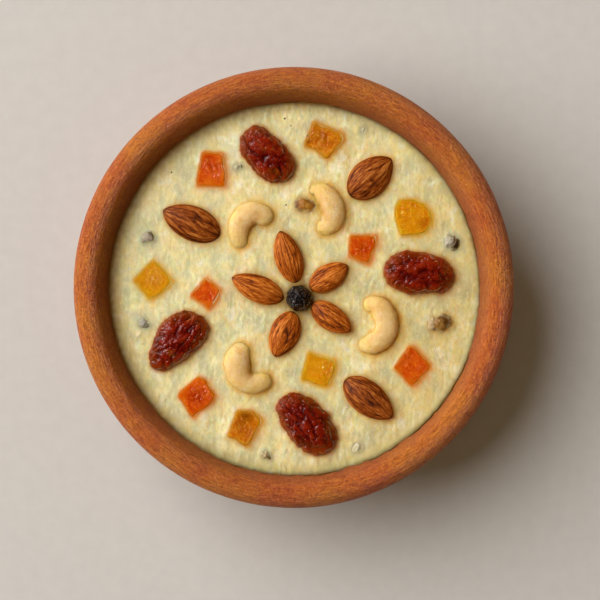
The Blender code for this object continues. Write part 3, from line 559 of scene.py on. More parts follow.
def table_paper():
    """A plain pale beige table top, very faintly uneven in tone."""
    material, tree, spot = start_material("pale_table", Roughness=0.85, Specular_IOR_Level=0.2)
    uneven = add(tree, NOISE, {"Vector": spot, "Scale": per_mm(5.0), "Detail": 4.0})
    connect(tree, Base_Color=add(tree, RAMP, {"Fac": uneven}, [(0.3, "#C8C3BE"), (0.7, "#CCC7C2")]))
    return material


def make_piece(name, points, faces, material, marks=None):
    """A smooth closed piece from points in millimetres, with named values, vectors or colours on its points."""
    mesh = bpy.data.meshes.new(name)
    mesh.from_pydata((np.asarray(points) * MM).tolist(), [], faces)
    mesh.materials.append(material)
    for key, values in (marks or {}).items():
        values = np.asarray(values, np.float32)
        width = 1 if values.ndim == 1 else values.shape[1]
        kind, field = {1: ("FLOAT", "value"), 3: ("FLOAT_VECTOR", "vector"), 4: ("FLOAT_COLOR", "color")}[width]
        layer = mesh.attributes.new(key, kind, "POINT")
        layer.data.foreach_set(field, values.ravel())
    mesh.shade_smooth()
    piece = bpy.data.objects.new(name, mesh)
    bpy.context.scene.collection.objects.link(piece)
    return piece


def skin_faces(rings, sides):
    """Faces of a closed form: a pole, equal rings, and a pole."""
    faces = [(0, 1 + (i + 1) % sides, 1 + i) for i in range(sides)]
    for k in range(rings - 1):
        low = 1 + k * sides
        faces += [
            (low + i, low + (i + 1) % sides, low + sides + (i + 1) % sides, low + sides + i)
            for i in range(sides)
        ]
    low = 1 + (rings - 1) * sides
    end = 1 + rings * sides
    faces += [(low + i, low + (i + 1) % sides, end) for i in range(sides)]
    return faces


def wound_outwards(points, faces):
    """The faces turned so that the closed form they make has its outside out."""
    points = np.asarray(points)
    middle = points.mean(axis=0)
    total = 0.0
    for face in faces[:: max(1, len(faces) // 4000)]:
        a, b, c = (points[i] - middle for i in (face[0], face[1], face[2]))
        total += float(np.dot(a, np.cross(b, c)))
    return faces if total > 0 else [tuple(reversed(face)) for face in faces]


def make_skin(name, points, rings, sides, material, marks):
    """A piece from the points of a pole, equal rings and a pole."""
    return make_piece(name, points, wound_outwards(points, skin_faces(rings, sides)), material, marks)


def capped(first, values, last):
    """The values on a skin's rings with those on its two poles."""
    return np.concatenate(([first], values, [last]))


def on_rings(values, sides):
    """Each point's ring value and turn, ring after ring."""
    return np.repeat(values, sides), np.tile(np.linspace(0.0, math.tau, sides, endpoint=False), len(values))


def ball(rings, sides):
    """The rings of a ball with a radius of 1, without its poles."""
    lift, turn = on_rings(-np.pi / 2.0 + np.pi * (np.arange(rings) + 0.5) / rings, sides)
    return np.column_stack((np.cos(lift) * np.cos(turn), np.cos(lift) * np.sin(turn), np.sin(lift)))


def roughness(points, size, shift=0.0):
    """A smooth random value from -1 to 1 at each point, with lumps of the given size."""
    size = np.asarray(size, float)
    spots = np.asarray(points) / size + shift
    return np.array([noise.noise(spot) for spot in spots.tolist()])


def turned_and_moved(points, x, y, z, heading, pitch=0.0, roll=0.0):
    """The points rolled, pitched and turned to their heading, then moved to their place."""
    turn = Euler([math.radians(a) for a in (roll, -pitch, heading)], "XYZ").to_matrix()
    return np.asarray(points) @ np.array(turn).T + np.array((x, y, z))


def bulged_line(start, end, bulge, steps):
    """Even points from start to end on a line that bulges to its right in the middle."""
    start, end = np.array(start), np.array(end)
    run = end - start
    side = np.array((run[1], -run[0])) / np.hypot(*run)
    t = np.linspace(0.0, 1.0, steps + 1)[:, None]
    return start + run * t + side * bulge * 4.0 * t * (1.0 - t)


def bowl_profile():
    """The turned profile and, for each point, 1 where it is inside the bowl."""
    floor = np.column_stack((np.linspace(0.4, INNER_FLOOR[0] - 1.0, 14), np.full(14, FLOOR_HEIGHT)))
    wall = bulged_line(INNER_FLOOR, INNER_TOP, INNER_BULGE, WALL_STEPS)
    angles = np.radians(np.linspace(LIP_START_DEG, LIP_END_DEG, 46))
    lip = np.column_stack(
        (LIP_CENTRE[0] + LIP_ROUND * np.cos(angles), LIP_CENTRE[1] + LIP_ROUND * np.sin(angles))
    )
    body = bulged_line(BODY_FOOT, NECK, BODY_BULGE, WALL_STEPS)[::-1]
    foot = np.array([(41.2, 0.7), (FOOT_RADIUS, 0.15), (FOOT_RADIUS - 0.6, 0.0), (20.0, 0.0), (0.4, 0.0)])
    profile = np.vstack((floor, wall, lip, body, foot))
    inside = np.zeros(len(profile))
    inside[: len(floor) + len(wall) + 12] = 1.0
    return profile, inside


def make_bowl(material):
    """The thrown bowl: a turned wall with faint rings from the potter's fingers and a slight wobble."""
    profile, inside = bowl_profile()
    length = np.concatenate(([0.0], np.cumsum(np.hypot(*np.diff(profile, axis=0).T))))
    ahead = np.roll(profile, -1, axis=0) - np.roll(profile, 1, axis=0)
    ahead[0], ahead[-1] = (1.0, 0.0), (-1.0, 0.0)
    ahead /= np.hypot(*ahead.T)[:, None]
    normal = np.column_stack((-ahead[:, 1], ahead[:, 0]))
    ring, turn = on_rings(np.arange(len(profile)), BOWL_SIDES)
    along = length[ring]
    c, s = np.cos(turn), np.sin(turn)
    rings = roughness(np.column_stack((along, 1.1 * c, 1.1 * s)), (0.75, 1.0, 1.0))
    waves = roughness(np.column_stack((along, 1.6 * c, 1.6 * s)), (5.0, 1.0, 1.0), 7.0)
    push = 0.05 * rings + 0.16 * waves
    push[profile[ring][:, 1] < 0.3] = 0.0
    r, z = (profile[ring] + push[:, None] * normal[ring]).T
    points = np.column_stack((r * c, r * s, np.maximum(z, 0.0)))
    points = capped((0.0, 0.0, FLOOR_HEIGHT), points, (0.0, 0.0, 0.0))
    turned = capped((0.0, 0.0, 0.0), np.column_stack((c, s, along)), (0.0, 0.0, length[-1]))
    marks = {"inside": capped(1.0, inside[ring], 0.0), "turned": turned}
    return make_skin("bowl_wall", points, len(profile), BOWL_SIDES, material, marks)


def almond(name, material):
    """One almond with fine ridges that run from its blunt end and close up at its point."""
    x, y, rise, length, width, thickness, heading, bend, pitch, roll = ALMONDS[name]
    rings, sides = 90, 250
    widest = ALMOND_BLUNT / (ALMOND_BLUNT + ALMOND_POINT)
    peak = widest**ALMOND_BLUNT * (1.0 - widest) ** ALMOND_POINT
    t = 0.5 - 0.5 * np.cos(np.pi * (np.arange(rings) + 0.5) / rings)
    share = t**ALMOND_BLUNT * (1.0 - t) ** ALMOND_POINT / peak
    tt, aa = on_rings(t, sides)
    own = 3.7 * list(ALMONDS).index(name)
    drift = roughness(np.column_stack((3.0 * tt, 1.4 * np.cos(aa), 1.4 * np.sin(aa))), 1.0, own)
    around = aa + 0.14 * drift

    def run(along, round_it, shift):
        spots = np.column_stack((along * tt, round_it * np.cos(around), round_it * np.sin(around)))
        return roughness(spots, 1.0, own + shift)

    lines, twigs = run(1.3, 3.0, 5.0), run(2.4, 5.4, 15.0)
    broad, grain = run(1.6, 1.5, 9.0), run(16.0, 11.0, 19.0)
    groove = np.exp(-((lines / 0.11) ** 2))
    twig = 0.65 * np.exp(-((twigs / 0.1) ** 2))
    cut = np.maximum(groove, twig)
    swell = 1.0 - np.clip(np.abs(lines) / 0.3, 0.0, 1.0)
    ease = np.clip(np.sin(np.pi * tt), 0.0, 1.0) ** 0.5
    push = ease * (0.03 * grain - 0.13 * cut - 0.06 * swell + 0.2 * broad)
    wide = np.repeat(share, sides)
    middle = bend * (tt**2 - 0.35)
    px = (tt - 0.5) * length
    py = middle + (wide * width / 2.0 + push) * np.cos(aa)
    pz = (wide * thickness / 2.0 + push) * np.sin(aa)
    points = np.column_stack((px, py, pz))
    points = capped((-length / 2.0, -0.35 * bend, 0.0), points, (length / 2.0, 0.65 * bend, 0.0))
    relief = np.clip(0.62 - 0.45 * cut + 0.24 * grain + 0.25 * broad + 0.1 * twigs, 0.0, 1.0)
    ends = 0.9 * np.exp(-((tt / 0.045) ** 2)) + 0.85 * np.exp(-(((1.0 - tt) / 0.035) ** 2))
    marks = {
        "relief": capped(0.3, relief, 0.3),
        "ends": capped(0.8, np.clip(ends, 0.0, 1.0), 0.8),
    }
    points = turned_and_moved(points, x, y, LEVEL + rise, heading, pitch, roll)
    piece = make_skin(name + "_nut", points, rings, sides, material, marks)
    add_skin_uv(piece, capped(0.0, tt, 1.0), capped(0.0, aa, 0.0))
    return piece


def add_skin_uv(piece, along, around):
    """A UV map with the length along U and the turn round it along V."""
    layer = piece.data.uv_layers.new(name="skin")
    loops = np.zeros(len(piece.data.loops), np.int32)
    piece.data.loops.foreach_get("vertex_index", loops)
    u, v = along[loops], around[loops] / math.tau
    for face in piece.data.polygons:
        part = slice(face.loop_start, face.loop_start + face.loop_total)
        if v[part].max() - v[part].min() > 0.5:
            v[part] = np.where(v[part] < 0.5, v[part] + 1.0, v[part])
    layer.data.foreach_set("uv", np.column_stack((u, v)).astype(np.float32).ravel())


def on_curve(knots, t):
    """Points on the smooth line through the knots."""
    knots = np.array(knots)
    last = len(knots) - 1
    where = np.minimum(np.asarray(t) * last, last - 1e-6)
    i = where.astype(int)
    u = (where - i)[:, None]
    a, b = knots[np.maximum(i - 1, 0)], knots[i]
    c, d = knots[i + 1], knots[np.minimum(i + 2, last)]
    return 0.5 * (
        2.0 * b + (c - a) * u + (2.0 * a - 5.0 * b + 4.0 * c - d) * u**2 + (3.0 * b - a - 3.0 * c + d) * u**3
    )


def cashew_end(line, slopes, heading, at, sign, count):
    """Rings that close one end of a cashew with a round cap that carries on its taper."""
    x, y, radius, rise = line[at]
    tilt = math.asin(min(0.8, max(0.0, slopes[at])))
    ball = radius / math.cos(tilt)
    rows = []
    for lift in np.linspace(tilt, math.pi / 2.0, count + 1)[1:-1]:
        centre = np.array((x, y)) + sign * heading[at] * ball * (math.sin(lift) - math.sin(tilt))
        rows.append((centre, ball * math.cos(lift), rise, heading[at], 0.0))
    tip = np.array((x, y)) + sign * heading[at] * ball * (1.0 - math.sin(tilt))
    return rows, np.array((*tip, LEVEL + rise))


def cashew(name, material):
    """One cashew: a bent, swelling form with soft lumps, its inner bend creased and tan, partly painted shade,
    with a painted golden glow low down on the side away from the light.
    """
    sides, body_rings, cap_rings = 60, 70, 12
    t = np.linspace(0.0, 1.0, body_rings)
    line = on_curve(CASHEWS[name], t)
    ahead, behind = np.minimum(t + 0.02, 1.0), np.maximum(t - 0.02, 0.0)
    heading = on_curve(CASHEWS[name], ahead) - on_curve(CASHEWS[name], behind)
    heading = heading[:, :2] / np.hypot(heading[:, 0], heading[:, 1])[:, None]
    slopes = np.abs(np.gradient(line[:, 2], np.cumsum(np.hypot(*np.gradient(line[:, :2], axis=0).T))))
    head, first = cashew_end(line, slopes, heading, 0, -1.0, cap_rings)
    tail, last = cashew_end(line, slopes, heading, -1, 1.0, cap_rings)
    body = [(line[k, :2], line[k, 2], line[k, 3], heading[k], t[k]) for k in range(body_rings)]
    rows = head[::-1] + body + tail
    turn = np.linspace(0.0, math.tau, sides, endpoint=False)
    points, normals, bend = [], [], []
    inner_side = 1.0 if np.cross(heading[0], heading[-1]) > 0 else -1.0
    upright = np.array((0.0, 0.0, CASHEW_FLATNESS))
    for centre, radius, rise, along, spot in rows:
        side = np.array((-along[1], along[0], 0.0))
        out = side[None, :] * np.cos(turn)[:, None] + upright[None, :] * np.sin(turn)[:, None]
        points.append(np.array((centre[0], centre[1], LEVEL + rise)) + out * radius)
        normals.append(out)
        towards = np.clip(inner_side * np.cos(turn), 0.0, 1.0)
        bend.append(towards**3.0 * math.sin(math.pi * spot) ** 0.9)
    points, normals, bend = np.vstack(points), np.vstack(normals), np.concatenate(bend)
    own = 3.0 * list(CASHEWS).index(name)
    lumps, small = roughness(points, 4.0, own), roughness(points, 1.5, 11.0 + own)
    puckers = bend * creased(points, (1.1, 1.1, 1.6), own + 37.0)
    points = points + normals * (0.3 * lumps + 0.1 * small + 0.3 * puckers)[:, None]
    bend = np.clip(bend * (1.0 + 0.8 * roughness(points, 2.0, 23.0 + own)), 0.0, 1.0)
    # Painted glow: golden low down, most on the side away from the light, standing for light that passes through
    # the nut
    low = np.clip(1.0 - (points[:, 2] - LEVEL) / 3.8, 0.0, 1.0) * (0.68 - 0.32 * (normals[:, :2] @ LAMP_WAY))
    marks = {"bend": capped(0.0, 0.85 * bend, 0.0), "low": capped(1.0, low, 1.0)}
    return make_skin(name + "_nut", capped(first, points, last), len(rows), sides, material, marks)


def creased(points, size, shift):
    """Rounded folds with sharp valleys between them, from 0 in a valley to 1 on a fold."""
    return np.clip(np.abs(roughness(points, size, shift)) * 2.6, 0.0, 1.0) ** 0.75


def raisin(name, material):
    """One large raisin: low folds that run lengthwise, a wrinkled skin and an uneven outline."""
    x, y, rise, length, width, thickness, heading, square, taper = RAISINS[name]
    rings, sides = 160, 230
    own = 4.1 * list(RAISINS).index(name)
    lift = np.pi * (np.arange(rings) + 0.5) / rings
    u = -np.cos(lift)
    along = np.copysign(np.abs(u) ** (2.0 / square), u)
    share = np.maximum(1.0 - np.abs(along) ** square, 0.0) ** (1.0 / square)
    ll, aa = on_rings(along, sides)
    wide = np.repeat(share, sides)
    base = np.column_stack(
        (
            ll * length / 2.0,
            wide * width / 2.0 * (1.0 + taper * ll) * np.cos(aa),
            wide * thickness / 2.0 * np.sin(aa),
        )
    )
    reach = RAISIN_REACH[name]
    waves = np.fft.rfft(reach) / len(reach)
    turn = np.arctan2(base[:, 1], base[:, 0])
    stretch = np.full(len(base), waves[0].real)
    for k in range(1, len(reach) // 2):
        stretch += 2.0 * np.sinc(k / len(reach)) * (waves[k] * np.exp(1j * k * turn)).real
    crinkle = roughness(np.column_stack((base[:, :2], 0.0 * turn)), 1.9, own + 110.0)
    base[:, :2] *= (stretch * (1.0 + 0.035 * crinkle))[:, None]
    bent = base + 0.9 * np.column_stack([roughness(base, 4.5, own + k) for k in (20.0, 30.0, 40.0)])
    folds = creased(bent, (7.0, 3.6, 3.6), own)
    wrinkles = creased(bent, (2.6, 1.7, 1.7), own + 50.0)
    fine = creased(bent, (1.1, 0.8, 0.8), own + 70.0)
    swell = roughness(base, 4.2, own + 90.0)
    outwards = np.column_stack((0.35 * ll, np.cos(aa), np.sin(aa)))
    outwards /= np.linalg.norm(outwards, axis=1)[:, None]
    ease = np.clip(wide * 1.6, 0.15, 1.0)
    push = ease * (0.52 * (folds - 0.7) + 0.28 * (wrinkles - 0.7) + 0.08 * (fine - 0.6) + 0.4 * swell)
    points = base + outwards * push[:, None]
    tips = length / 2.0 * np.array((stretch[turn.argmax()], stretch[np.abs(turn).argmin()])) - 0.15
    points = capped((-tips[0], 0.0, 0.0), points, (tips[1], 0.0, 0.0))
    relief = np.clip(0.35 * folds + 0.3 * wrinkles + 0.2 * fine + 0.25 * swell + 0.1, 0.0, 1.0)
    rim = np.hypot(base[:, 0] / (length / 2.0), base[:, 1] / (width / 2.0)) / stretch
    thin = np.clip((rim - 0.55) / 0.4, 0.0, 1.0) ** 1.5
    marks = {"relief": capped(0.5, relief, 0.5), "thin": capped(1.0, thin * 0.8, 1.0)}
    points = turned_and_moved(points, x, y, LEVEL + rise, heading)
    return make_skin(name + "_fruit", points, rings, sides, material, marks)


def currant(material):
    """The black raisin in the middle: round, with fine deep wrinkles."""
    x, y, rise, diameter, thickness = CURRANT
    rings, sides = 70, 130
    out = ball(rings, sides)
    base = out * np.array((diameter / 2.0, diameter / 2.0, thickness / 2.0))
    bent = base + 0.7 * np.column_stack([roughness(base, 2.6, k) for k in (2.0, 12.0, 22.0)])
    folds = creased(bent, 2.0, 61.0)
    wrinkles = creased(bent, 0.95, 71.0)
    points = base + out * (0.55 * (folds - 0.75) + 0.25 * (wrinkles - 0.6))[:, None]
    points = capped((0.0, 0.0, -thickness / 2.0), points, (0.0, 0.0, thickness / 2.0 - 0.2))
    relief = capped(0.3, np.clip(0.6 * folds + 0.4 * wrinkles, 0.0, 1.0), 0.5)
    points = points + np.array((x, y, LEVEL + rise))
    return make_skin("currant_fruit", points, rings, sides, material, {"relief": relief})


def corner_end(here, other, edge):
    """Where the rounding of a corner ends on the way to another corner."""
    way = other - here
    return here + way / np.hypot(*way) * min(edge, 0.45 * np.hypot(*way))


def rounded_outline(corners, inset, edge, steps, per_side):
    """The outline through the corners, drawn in by the inset, its corners rounded and its sides divided."""
    count = len(corners)
    corners = np.array(corners)
    moved = []
    for i in range(count):
        before = corners[i] - corners[i - 1]
        after = corners[(i + 1) % count] - corners[i]
        before, after = before / np.hypot(*before), after / np.hypot(*after)
        inward = np.array((before[1] + after[1], -before[0] - after[0]))
        size = np.hypot(*inward)
        moved.append(corners[i] + inward / size * inset / max(0.35, 0.5 * size))
    outline = []
    for i in range(count):
        here, following = moved[i], moved[(i + 1) % count]
        start, end = corner_end(here, moved[i - 1], edge), corner_end(here, following, edge)
        side_end = corner_end(following, here, edge)
        for t in np.linspace(0.0, 1.0, steps):
            outline.append(start * (1 - t) ** 2 + here * 2 * t * (1 - t) + end * t**2)
        for t in np.linspace(0.0, 1.0, per_side + 2)[1:-1]:
            outline.append(end * (1 - t) + side_end * t)
    return np.array(outline)


def dice(name, material):
    """One candied piece: soft edges, a top that sags and is rough with pulp, deeper and wet in places, and a
    painted glow at its rim.
    """
    rise, tilt_x, tilt_y, corners = DICE[name]
    middle = np.mean(np.array(corners), axis=0)
    own = 5.3 * list(DICE).index(name)

    def ring(inset):
        return rounded_outline(corners, inset, DICE_CORNER, 5, 9)

    start = ring(DICE_EDGE * 0.75)
    shares = np.linspace(0.06, 1.0, 20)
    rows = [(middle + (start - middle) * share, 0.0) for share in shares]
    inwards = [(1.0 - share) * np.hypot(*(start - middle).T) + DICE_EDGE * 0.75 for share in shares]
    for turn in np.linspace(0.0, math.pi / 2.0, 9)[1:]:
        inset = DICE_EDGE * 0.75 - (DICE_EDGE * 0.85) * math.sin(turn)
        rows.append((ring(inset), -DICE_EDGE * (1.0 - math.cos(turn))))
    for step in np.linspace(0.0, 1.0, 12)[1:]:
        inset = -0.09 - DICE_SPREAD * math.sin(math.pi * step) * 0.8
        rows.append((ring(inset), -DICE_EDGE - (DICE_DEPTH - 1.6) * step))
    rows.append((ring(DICE_EDGE * 0.6), -DICE_DEPTH))
    top = LEVEL + rise
    points = np.vstack([np.column_stack((line, np.full(len(line), top + drop))) for line, drop in rows])
    points = capped((*middle, top), points, (*middle, top - DICE_DEPTH))
    lumps = roughness(points, 3.2, own)
    pulp = roughness(points, 1.3, own + 13.0)
    away = points[:, :2] - middle
    away_size = np.maximum(np.hypot(*away.T), 0.01)
    wet = np.zeros(len(points))
    for x, y, reach in DICE_WET[name]:
        wet += np.exp(-(((away[:, 0] - x) ** 2 + (away[:, 1] - y) ** 2) / reach**2) ** 1.5)
    wet = np.clip(wet * (0.8 + 0.9 * roughness(points, 2.2, own + 29.0)), 0.0, 1.0)
    tone_and_painted_light = np.zeros((len(points), 4))
    for x, y, reach, code, strength in DICE_TONES[name]:
        share = strength * np.exp(-(((away[:, 0] - x) ** 2 + (away[:, 1] - y) ** 2) / reach**2))
        total = np.maximum(tone_and_painted_light[:, 3] + share, 1e-4)
        tone_and_painted_light[:, :3] = (tone_and_painted_light[:, :3] * tone_and_painted_light[:, 3:] + np.array(colour(code)[:3]) * share[:, None]) / total[:, None]
        tone_and_painted_light[:, 3] = np.minimum(total, 1.0)
    inward = np.concatenate(([9.0], *inwards, np.zeros(len(points) - 1 - 20 * len(start))))
    # Painted glow: the rim colour, strongest on the side away from the light, stands for light through the piece
    share = (0.7 - 0.25 * (away @ LAMP_WAY) / away_size) * np.exp(-((inward / 0.9) ** 1.5))
    kept = tone_and_painted_light[:, 3] * (1.0 - share)
    rim = np.array(colour(DICE_RIM_GLOWS[name.split("_")[0]])[:3])
    tone_and_painted_light[:, :3] = tone_and_painted_light[:, :3] * kept[:, None] + rim * share[:, None]
    tone_and_painted_light[:, 3] = kept + share
    tone_and_painted_light[:, :3] /= np.maximum(tone_and_painted_light[:, 3:], 1e-4)
    near_top = np.clip(1.0 + (points[:, 2] - LEVEL - rise) / 1.5, 0.0, 1.0)
    points[:, 2] += near_top * (0.14 * lumps + (0.07 + 0.2 * wet) * pulp)
    sideways = (1.0 - near_top * 0.4) * (0.22 * lumps + 0.08 * pulp)
    points[:, :2] += away / away_size[:, None] * sideways[:, None]
    points[:, 2] += away[:, 0] * math.tan(math.radians(tilt_x)) + away[:, 1] * math.tan(math.radians(tilt_y))
    return make_skin(name + "_fruit", points, len(rows), len(start), material, {"tone_and_painted_light": tone_and_painted_light, "wet": wet})


def lobe(row, rings, sides, lump, own):
    """Points, faces and colours of one rounded lobe of a seed with lumps and a dark side, partly painted shade.
    """
    x, y, height, long, short, tall, heading, pale, dark_and_shade, facing, dark_and_shade_share = row
    out = capped((0.0, 0.0, -1.0), ball(rings, sides), (0.0, 0.0, 1.0))
    size = 1.0 + lump * (roughness(out, 0.6, own) + 0.6 * roughness(out, 0.28, own + 17.0))
    points = out * size[:, None] * np.array((long, short, tall))
    points = turned_and_moved(points, x, y, LEVEL + height - tall, heading)
    # The dark side is partly the husk's own colour and partly painted shade, mostly on the side away from the
    # light
    way = np.array((math.cos(math.radians(facing - heading)), math.sin(math.radians(facing - heading))))
    side = out[:, :2] @ way + 0.3 * roughness(out, 0.45, own + 40.0)
    share = np.clip((side - 1.0 + 2.0 * dark_and_shade_share) / 0.35 + 0.5, 0.0, 1.0)[:, None]
    tint = np.array(colour(pale)) * (1.0 - share) + np.array(colour(dark_and_shade)) * share
    sunk = 0.85 * np.clip(1.0 - (points[:, 2] - LEVEL - 0.1) / (0.6 * height), 0.0, 1.0)[:, None]
    tint = tint * (1.0 - sunk) + np.array(colour("#CFC392")) * sunk
    return points, wound_outwards(points, skin_faces(rings, sides)), tint


def make_seeds(material):
    """The seeds and the dark specks, as one piece."""
    points, faces, tints = [], [], []
    start = 0
    lobes = [(row[:-1], 34, 48, 0.2) for row in SEED_LOBES]
    lobes += [
        ((x, y, 0.35, radius, radius, radius, 0.0, "#5A4A30", "#3A2E1C", 0.0, 0.4), 8, 12, 0.3)
        for x, y, radius in SPECKS
    ]
    for k, (row, rings, sides, lump) in enumerate(lobes):
        some, those, tint = lobe(row, rings, sides, lump, 9.0 * k)
        points.append(some)
        tints.append(tint)
        faces += [tuple(i + start for i in face) for face in those]
        start += len(some)
    return make_piece("seeds", np.vstack(points), faces, material, {"tint": np.vstack(tints)})


def scatter_grains(count, seed):
    """Places of rice grains as x, y, direction, length, width and height, in millimetres."""
    draw = np.random.default_rng(seed)
    radius = (EDGE_RADIUS - 1.0) * np.sqrt(draw.uniform(0.0, 1.0, count))
    turn = draw.uniform(0.0, math.tau, count)
    lean = np.radians(74.0 + draw.normal(0.0, 34.0, count))
    return np.column_stack(
        (
            radius * np.cos(turn), radius * np.sin(turn), np.cos(lean), np.sin(lean),
            draw.uniform(2.0, 3.4, count), draw.uniform(0.9, 1.5, count), draw.uniform(0.03, 0.11, count),
        )
    )


def wall_lap(flat):
    """How far the milk laps up the wall, as a share of its most."""
    around = np.arctan2(flat[:, 1], flat[:, 0]) - math.radians(WALL_CREEP_DEG)
    return np.maximum(np.cos(around), 0.25)


def stain_and_shade_milk(flat, blotch, toppings):
    """The colour that toppings and the wall give the milk, partly real stains and partly painted shadow, glow and
    shade, and how far the milk climbs round them.
    """
    far = -LAMP_WAY
    climbed = np.zeros(len(flat))
    washes = []
    for kind, (code, strength, reach, climb) in STAINS_AND_SHADE.items():
        spots = [spot for owner, line in toppings if owner == kind for spot in line]
        tree = kdtree.KDTree(len(spots))
        for k, (x, y) in enumerate(spots):
            tree.insert((x, y, 0.0), k)
        tree.balance()
        hits = [tree.find((x, y, 0.0)) for x, y in flat.tolist()]
        found = np.array([(*hit[0][:2], hit[2]) for hit in hits])
        away = found[:, 2]
        # Painted shadow and glow: a stain reaches further on the side away from the light
        side = ((flat - found[:, :2]) @ far) / np.maximum(away, 0.05)
        spread = reach * np.maximum(0.2, (1.0 + 0.5 * blotch) * (1.0 + STAIN_SHADE_LEAN * side))
        washes.append((code, strength * np.exp(-((away / spread) ** 1.25))))
        climbed = np.maximum(climbed, climb * np.exp(-away / (0.3 + 1.4 * climb)))
    from_middle = np.hypot(*flat.T)
    # Painted shade at the wall: a brown line, partly a stain, widest on the side in shadow, and inside it a
    # painted warm shade of light thrown back by the clay
    shaded = np.maximum(0.0, -(flat @ far) / np.maximum(from_middle, 1.0))
    wall_reach = 0.8 + 0.4 * (1.0 - wall_lap(flat)) + 1.7 * shaded
    near = np.maximum(EDGE_RADIUS - from_middle, 0.0) / (wall_reach * (1.0 + 0.3 * blotch))
    soft = np.maximum(EDGE_RADIUS - from_middle, 0.0) / (3.2 + 1.2 * shaded)
    brown_stain_and_shade = np.exp(-(near**1.8))
    painted_warm_shade = (0.4 + 0.25 * wall_lap(flat) + 0.4 * shaded) * np.exp(-(soft**2.5)) * (1.0 - brown_stain_and_shade)
    mixed, weight, left = np.zeros((len(flat), 3)), np.zeros(len(flat)), np.ones(len(flat))
    for code, share in washes + [(WALL_PAINTED_WARM_SHADE, painted_warm_shade), (WALL_STAIN_AND_SHADE, brown_stain_and_shade)]:
        mixed += share[:, None] * np.array(colour(code)[:3])
        weight += share
        left *= 1.0 - share
    stain_and_shade = np.column_stack((mixed / np.maximum(weight, 1e-5)[:, None], 1.0 - left))
    return stain_and_shade, climbed


def depth_inside(flat, corners):
    """How far inside the outline each point is; less than nothing outside it."""
    corners = np.array(corners)
    depth = np.full(len(flat), 99.0)
    for start, end in zip(corners, np.roll(corners, -1, axis=0)):
        run = (end - start) / np.hypot(*(end - start))
        depth = np.minimum(depth, (flat[:, 1] - start[1]) * -run[0] + (flat[:, 0] - start[0]) * run[1])
    return depth


def make_pudding(material, toppings):
    """The pudding's surface with its rice, lapping up the wall and drawn up round whatever lies in it."""
    ring_count = int(round(EDGE_RADIUS / SURFACE_PITCH))
    spots = [(0.0, 0.0)]
    for k in range(1, ring_count + 1):
        turn = np.arange(6 * k) * math.tau / (6 * k)
        r = EDGE_RADIUS * k / ring_count
        spots += list(zip(r * np.cos(turn), r * np.sin(turn)))
    flat = np.array(spots)
    faces = disc_faces(ring_count)
    top = np.column_stack((flat, np.zeros(len(flat))))
    height = 0.7 * roughness(top, 17.0, 2.0) + 0.3 * roughness(top, 6.0, 5.0) + 0.09 * roughness(top, 2.4, 8.0)
    for x, y, c, s, length, width, lift in scatter_grains(3000, 21):
        near = np.nonzero((np.abs(flat[:, 0] - x) < 2.6) & (np.abs(flat[:, 1] - y) < 2.6))[0]
        dx, dy = flat[near, 0] - x, flat[near, 1] - y
        u = (dx * c + dy * s) / (length / 2.0)
        v = (dy * c - dx * s) / (width / 2.0)
        height[near] += lift * np.exp(-((u * u + v * v) ** 1.3))
    height -= 0.1
    edge = EDGE_RADIUS - np.hypot(*flat.T)
    film = roughness(top, 3.5, 41.0)
    height += 0.1 * film * np.exp(-edge / 0.9) - 0.12 * np.exp(-edge / 1.6)
    for x, y, rise, long, short, *_ in SEED_LOBES:
        away = np.hypot(flat[:, 0] - x, flat[:, 1] - y)
        near = np.exp(-((away / (0.5 * (long + short) + 0.8)) ** 4))
        height += near * (0.2 * rise - 0.1 - 0.8 * height)
    for rise, tilt_x, tilt_y, corners in DICE.values():
        depth = depth_inside(flat, corners)
        outside = np.minimum(depth, 0.0)
        lean = (flat - np.mean(corners, axis=0)) @ np.tan(np.radians((tilt_x, tilt_y)))
        height *= 1.0 - 0.9 * np.exp(-((outside / 3.0) ** 2))
        height += (DICE_CLIMB * rise + lean) * np.exp(outside / 0.9) - np.clip(depth - 1.1, 0.0, 1.5)
    stain_and_shade, climbed = stain_and_shade_milk(flat, roughness(top, 1.8, 31.0), toppings)
    height += climbed
    wall = bulged_line(INNER_FLOOR, INNER_TOP, INNER_BULGE, WALL_STEPS)
    creep = WALL_CREEP * wall_lap(flat) * (1.0 + 0.3 * film) * np.exp(-edge / 1.1)
    flat = flat * (1.0 + creep / EDGE_RADIUS)[:, None]
    height += creep * (wall[-1, 1] - LEVEL) / (wall[-1, 0] - EDGE_RADIUS)
    depth_ring = [
        (float(np.interp(LEVEL - drop, wall[:, 1], wall[:, 0])) - 0.3, LEVEL - drop)
        for drop in (1.2, 4.0, 9.0, 16.0, 22.5, 27.0)
    ]
    rim = 6 * ring_count
    turn = np.arange(rim) * math.tau / rim
    points = [np.column_stack((flat, LEVEL + height))]
    for r, z in depth_ring:
        points.append(np.column_stack((r * np.cos(turn), r * np.sin(turn), np.full(rim, z))))
    first = len(flat) - rim
    for _ in depth_ring:
        faces += [
            (first + i, first + rim + i, first + rim + (i + 1) % rim, first + (i + 1) % rim) for i in range(rim)
        ]
        first += rim
    faces.append(tuple(first + i for i in reversed(range(rim))))
    clear = np.clip((1.0 - stain_and_shade[:, 3] * 3.0), 0.0, 1.0)
    clear *= edge > 2.5
    extra = rim * len(depth_ring)
    marks = {
        "stain_and_shade": np.vstack((stain_and_shade, np.zeros((extra, 4)))),
        "clear": np.concatenate((clear, np.zeros(extra))),
    }
    return make_piece("pudding_body", np.vstack(points), faces, material, marks)


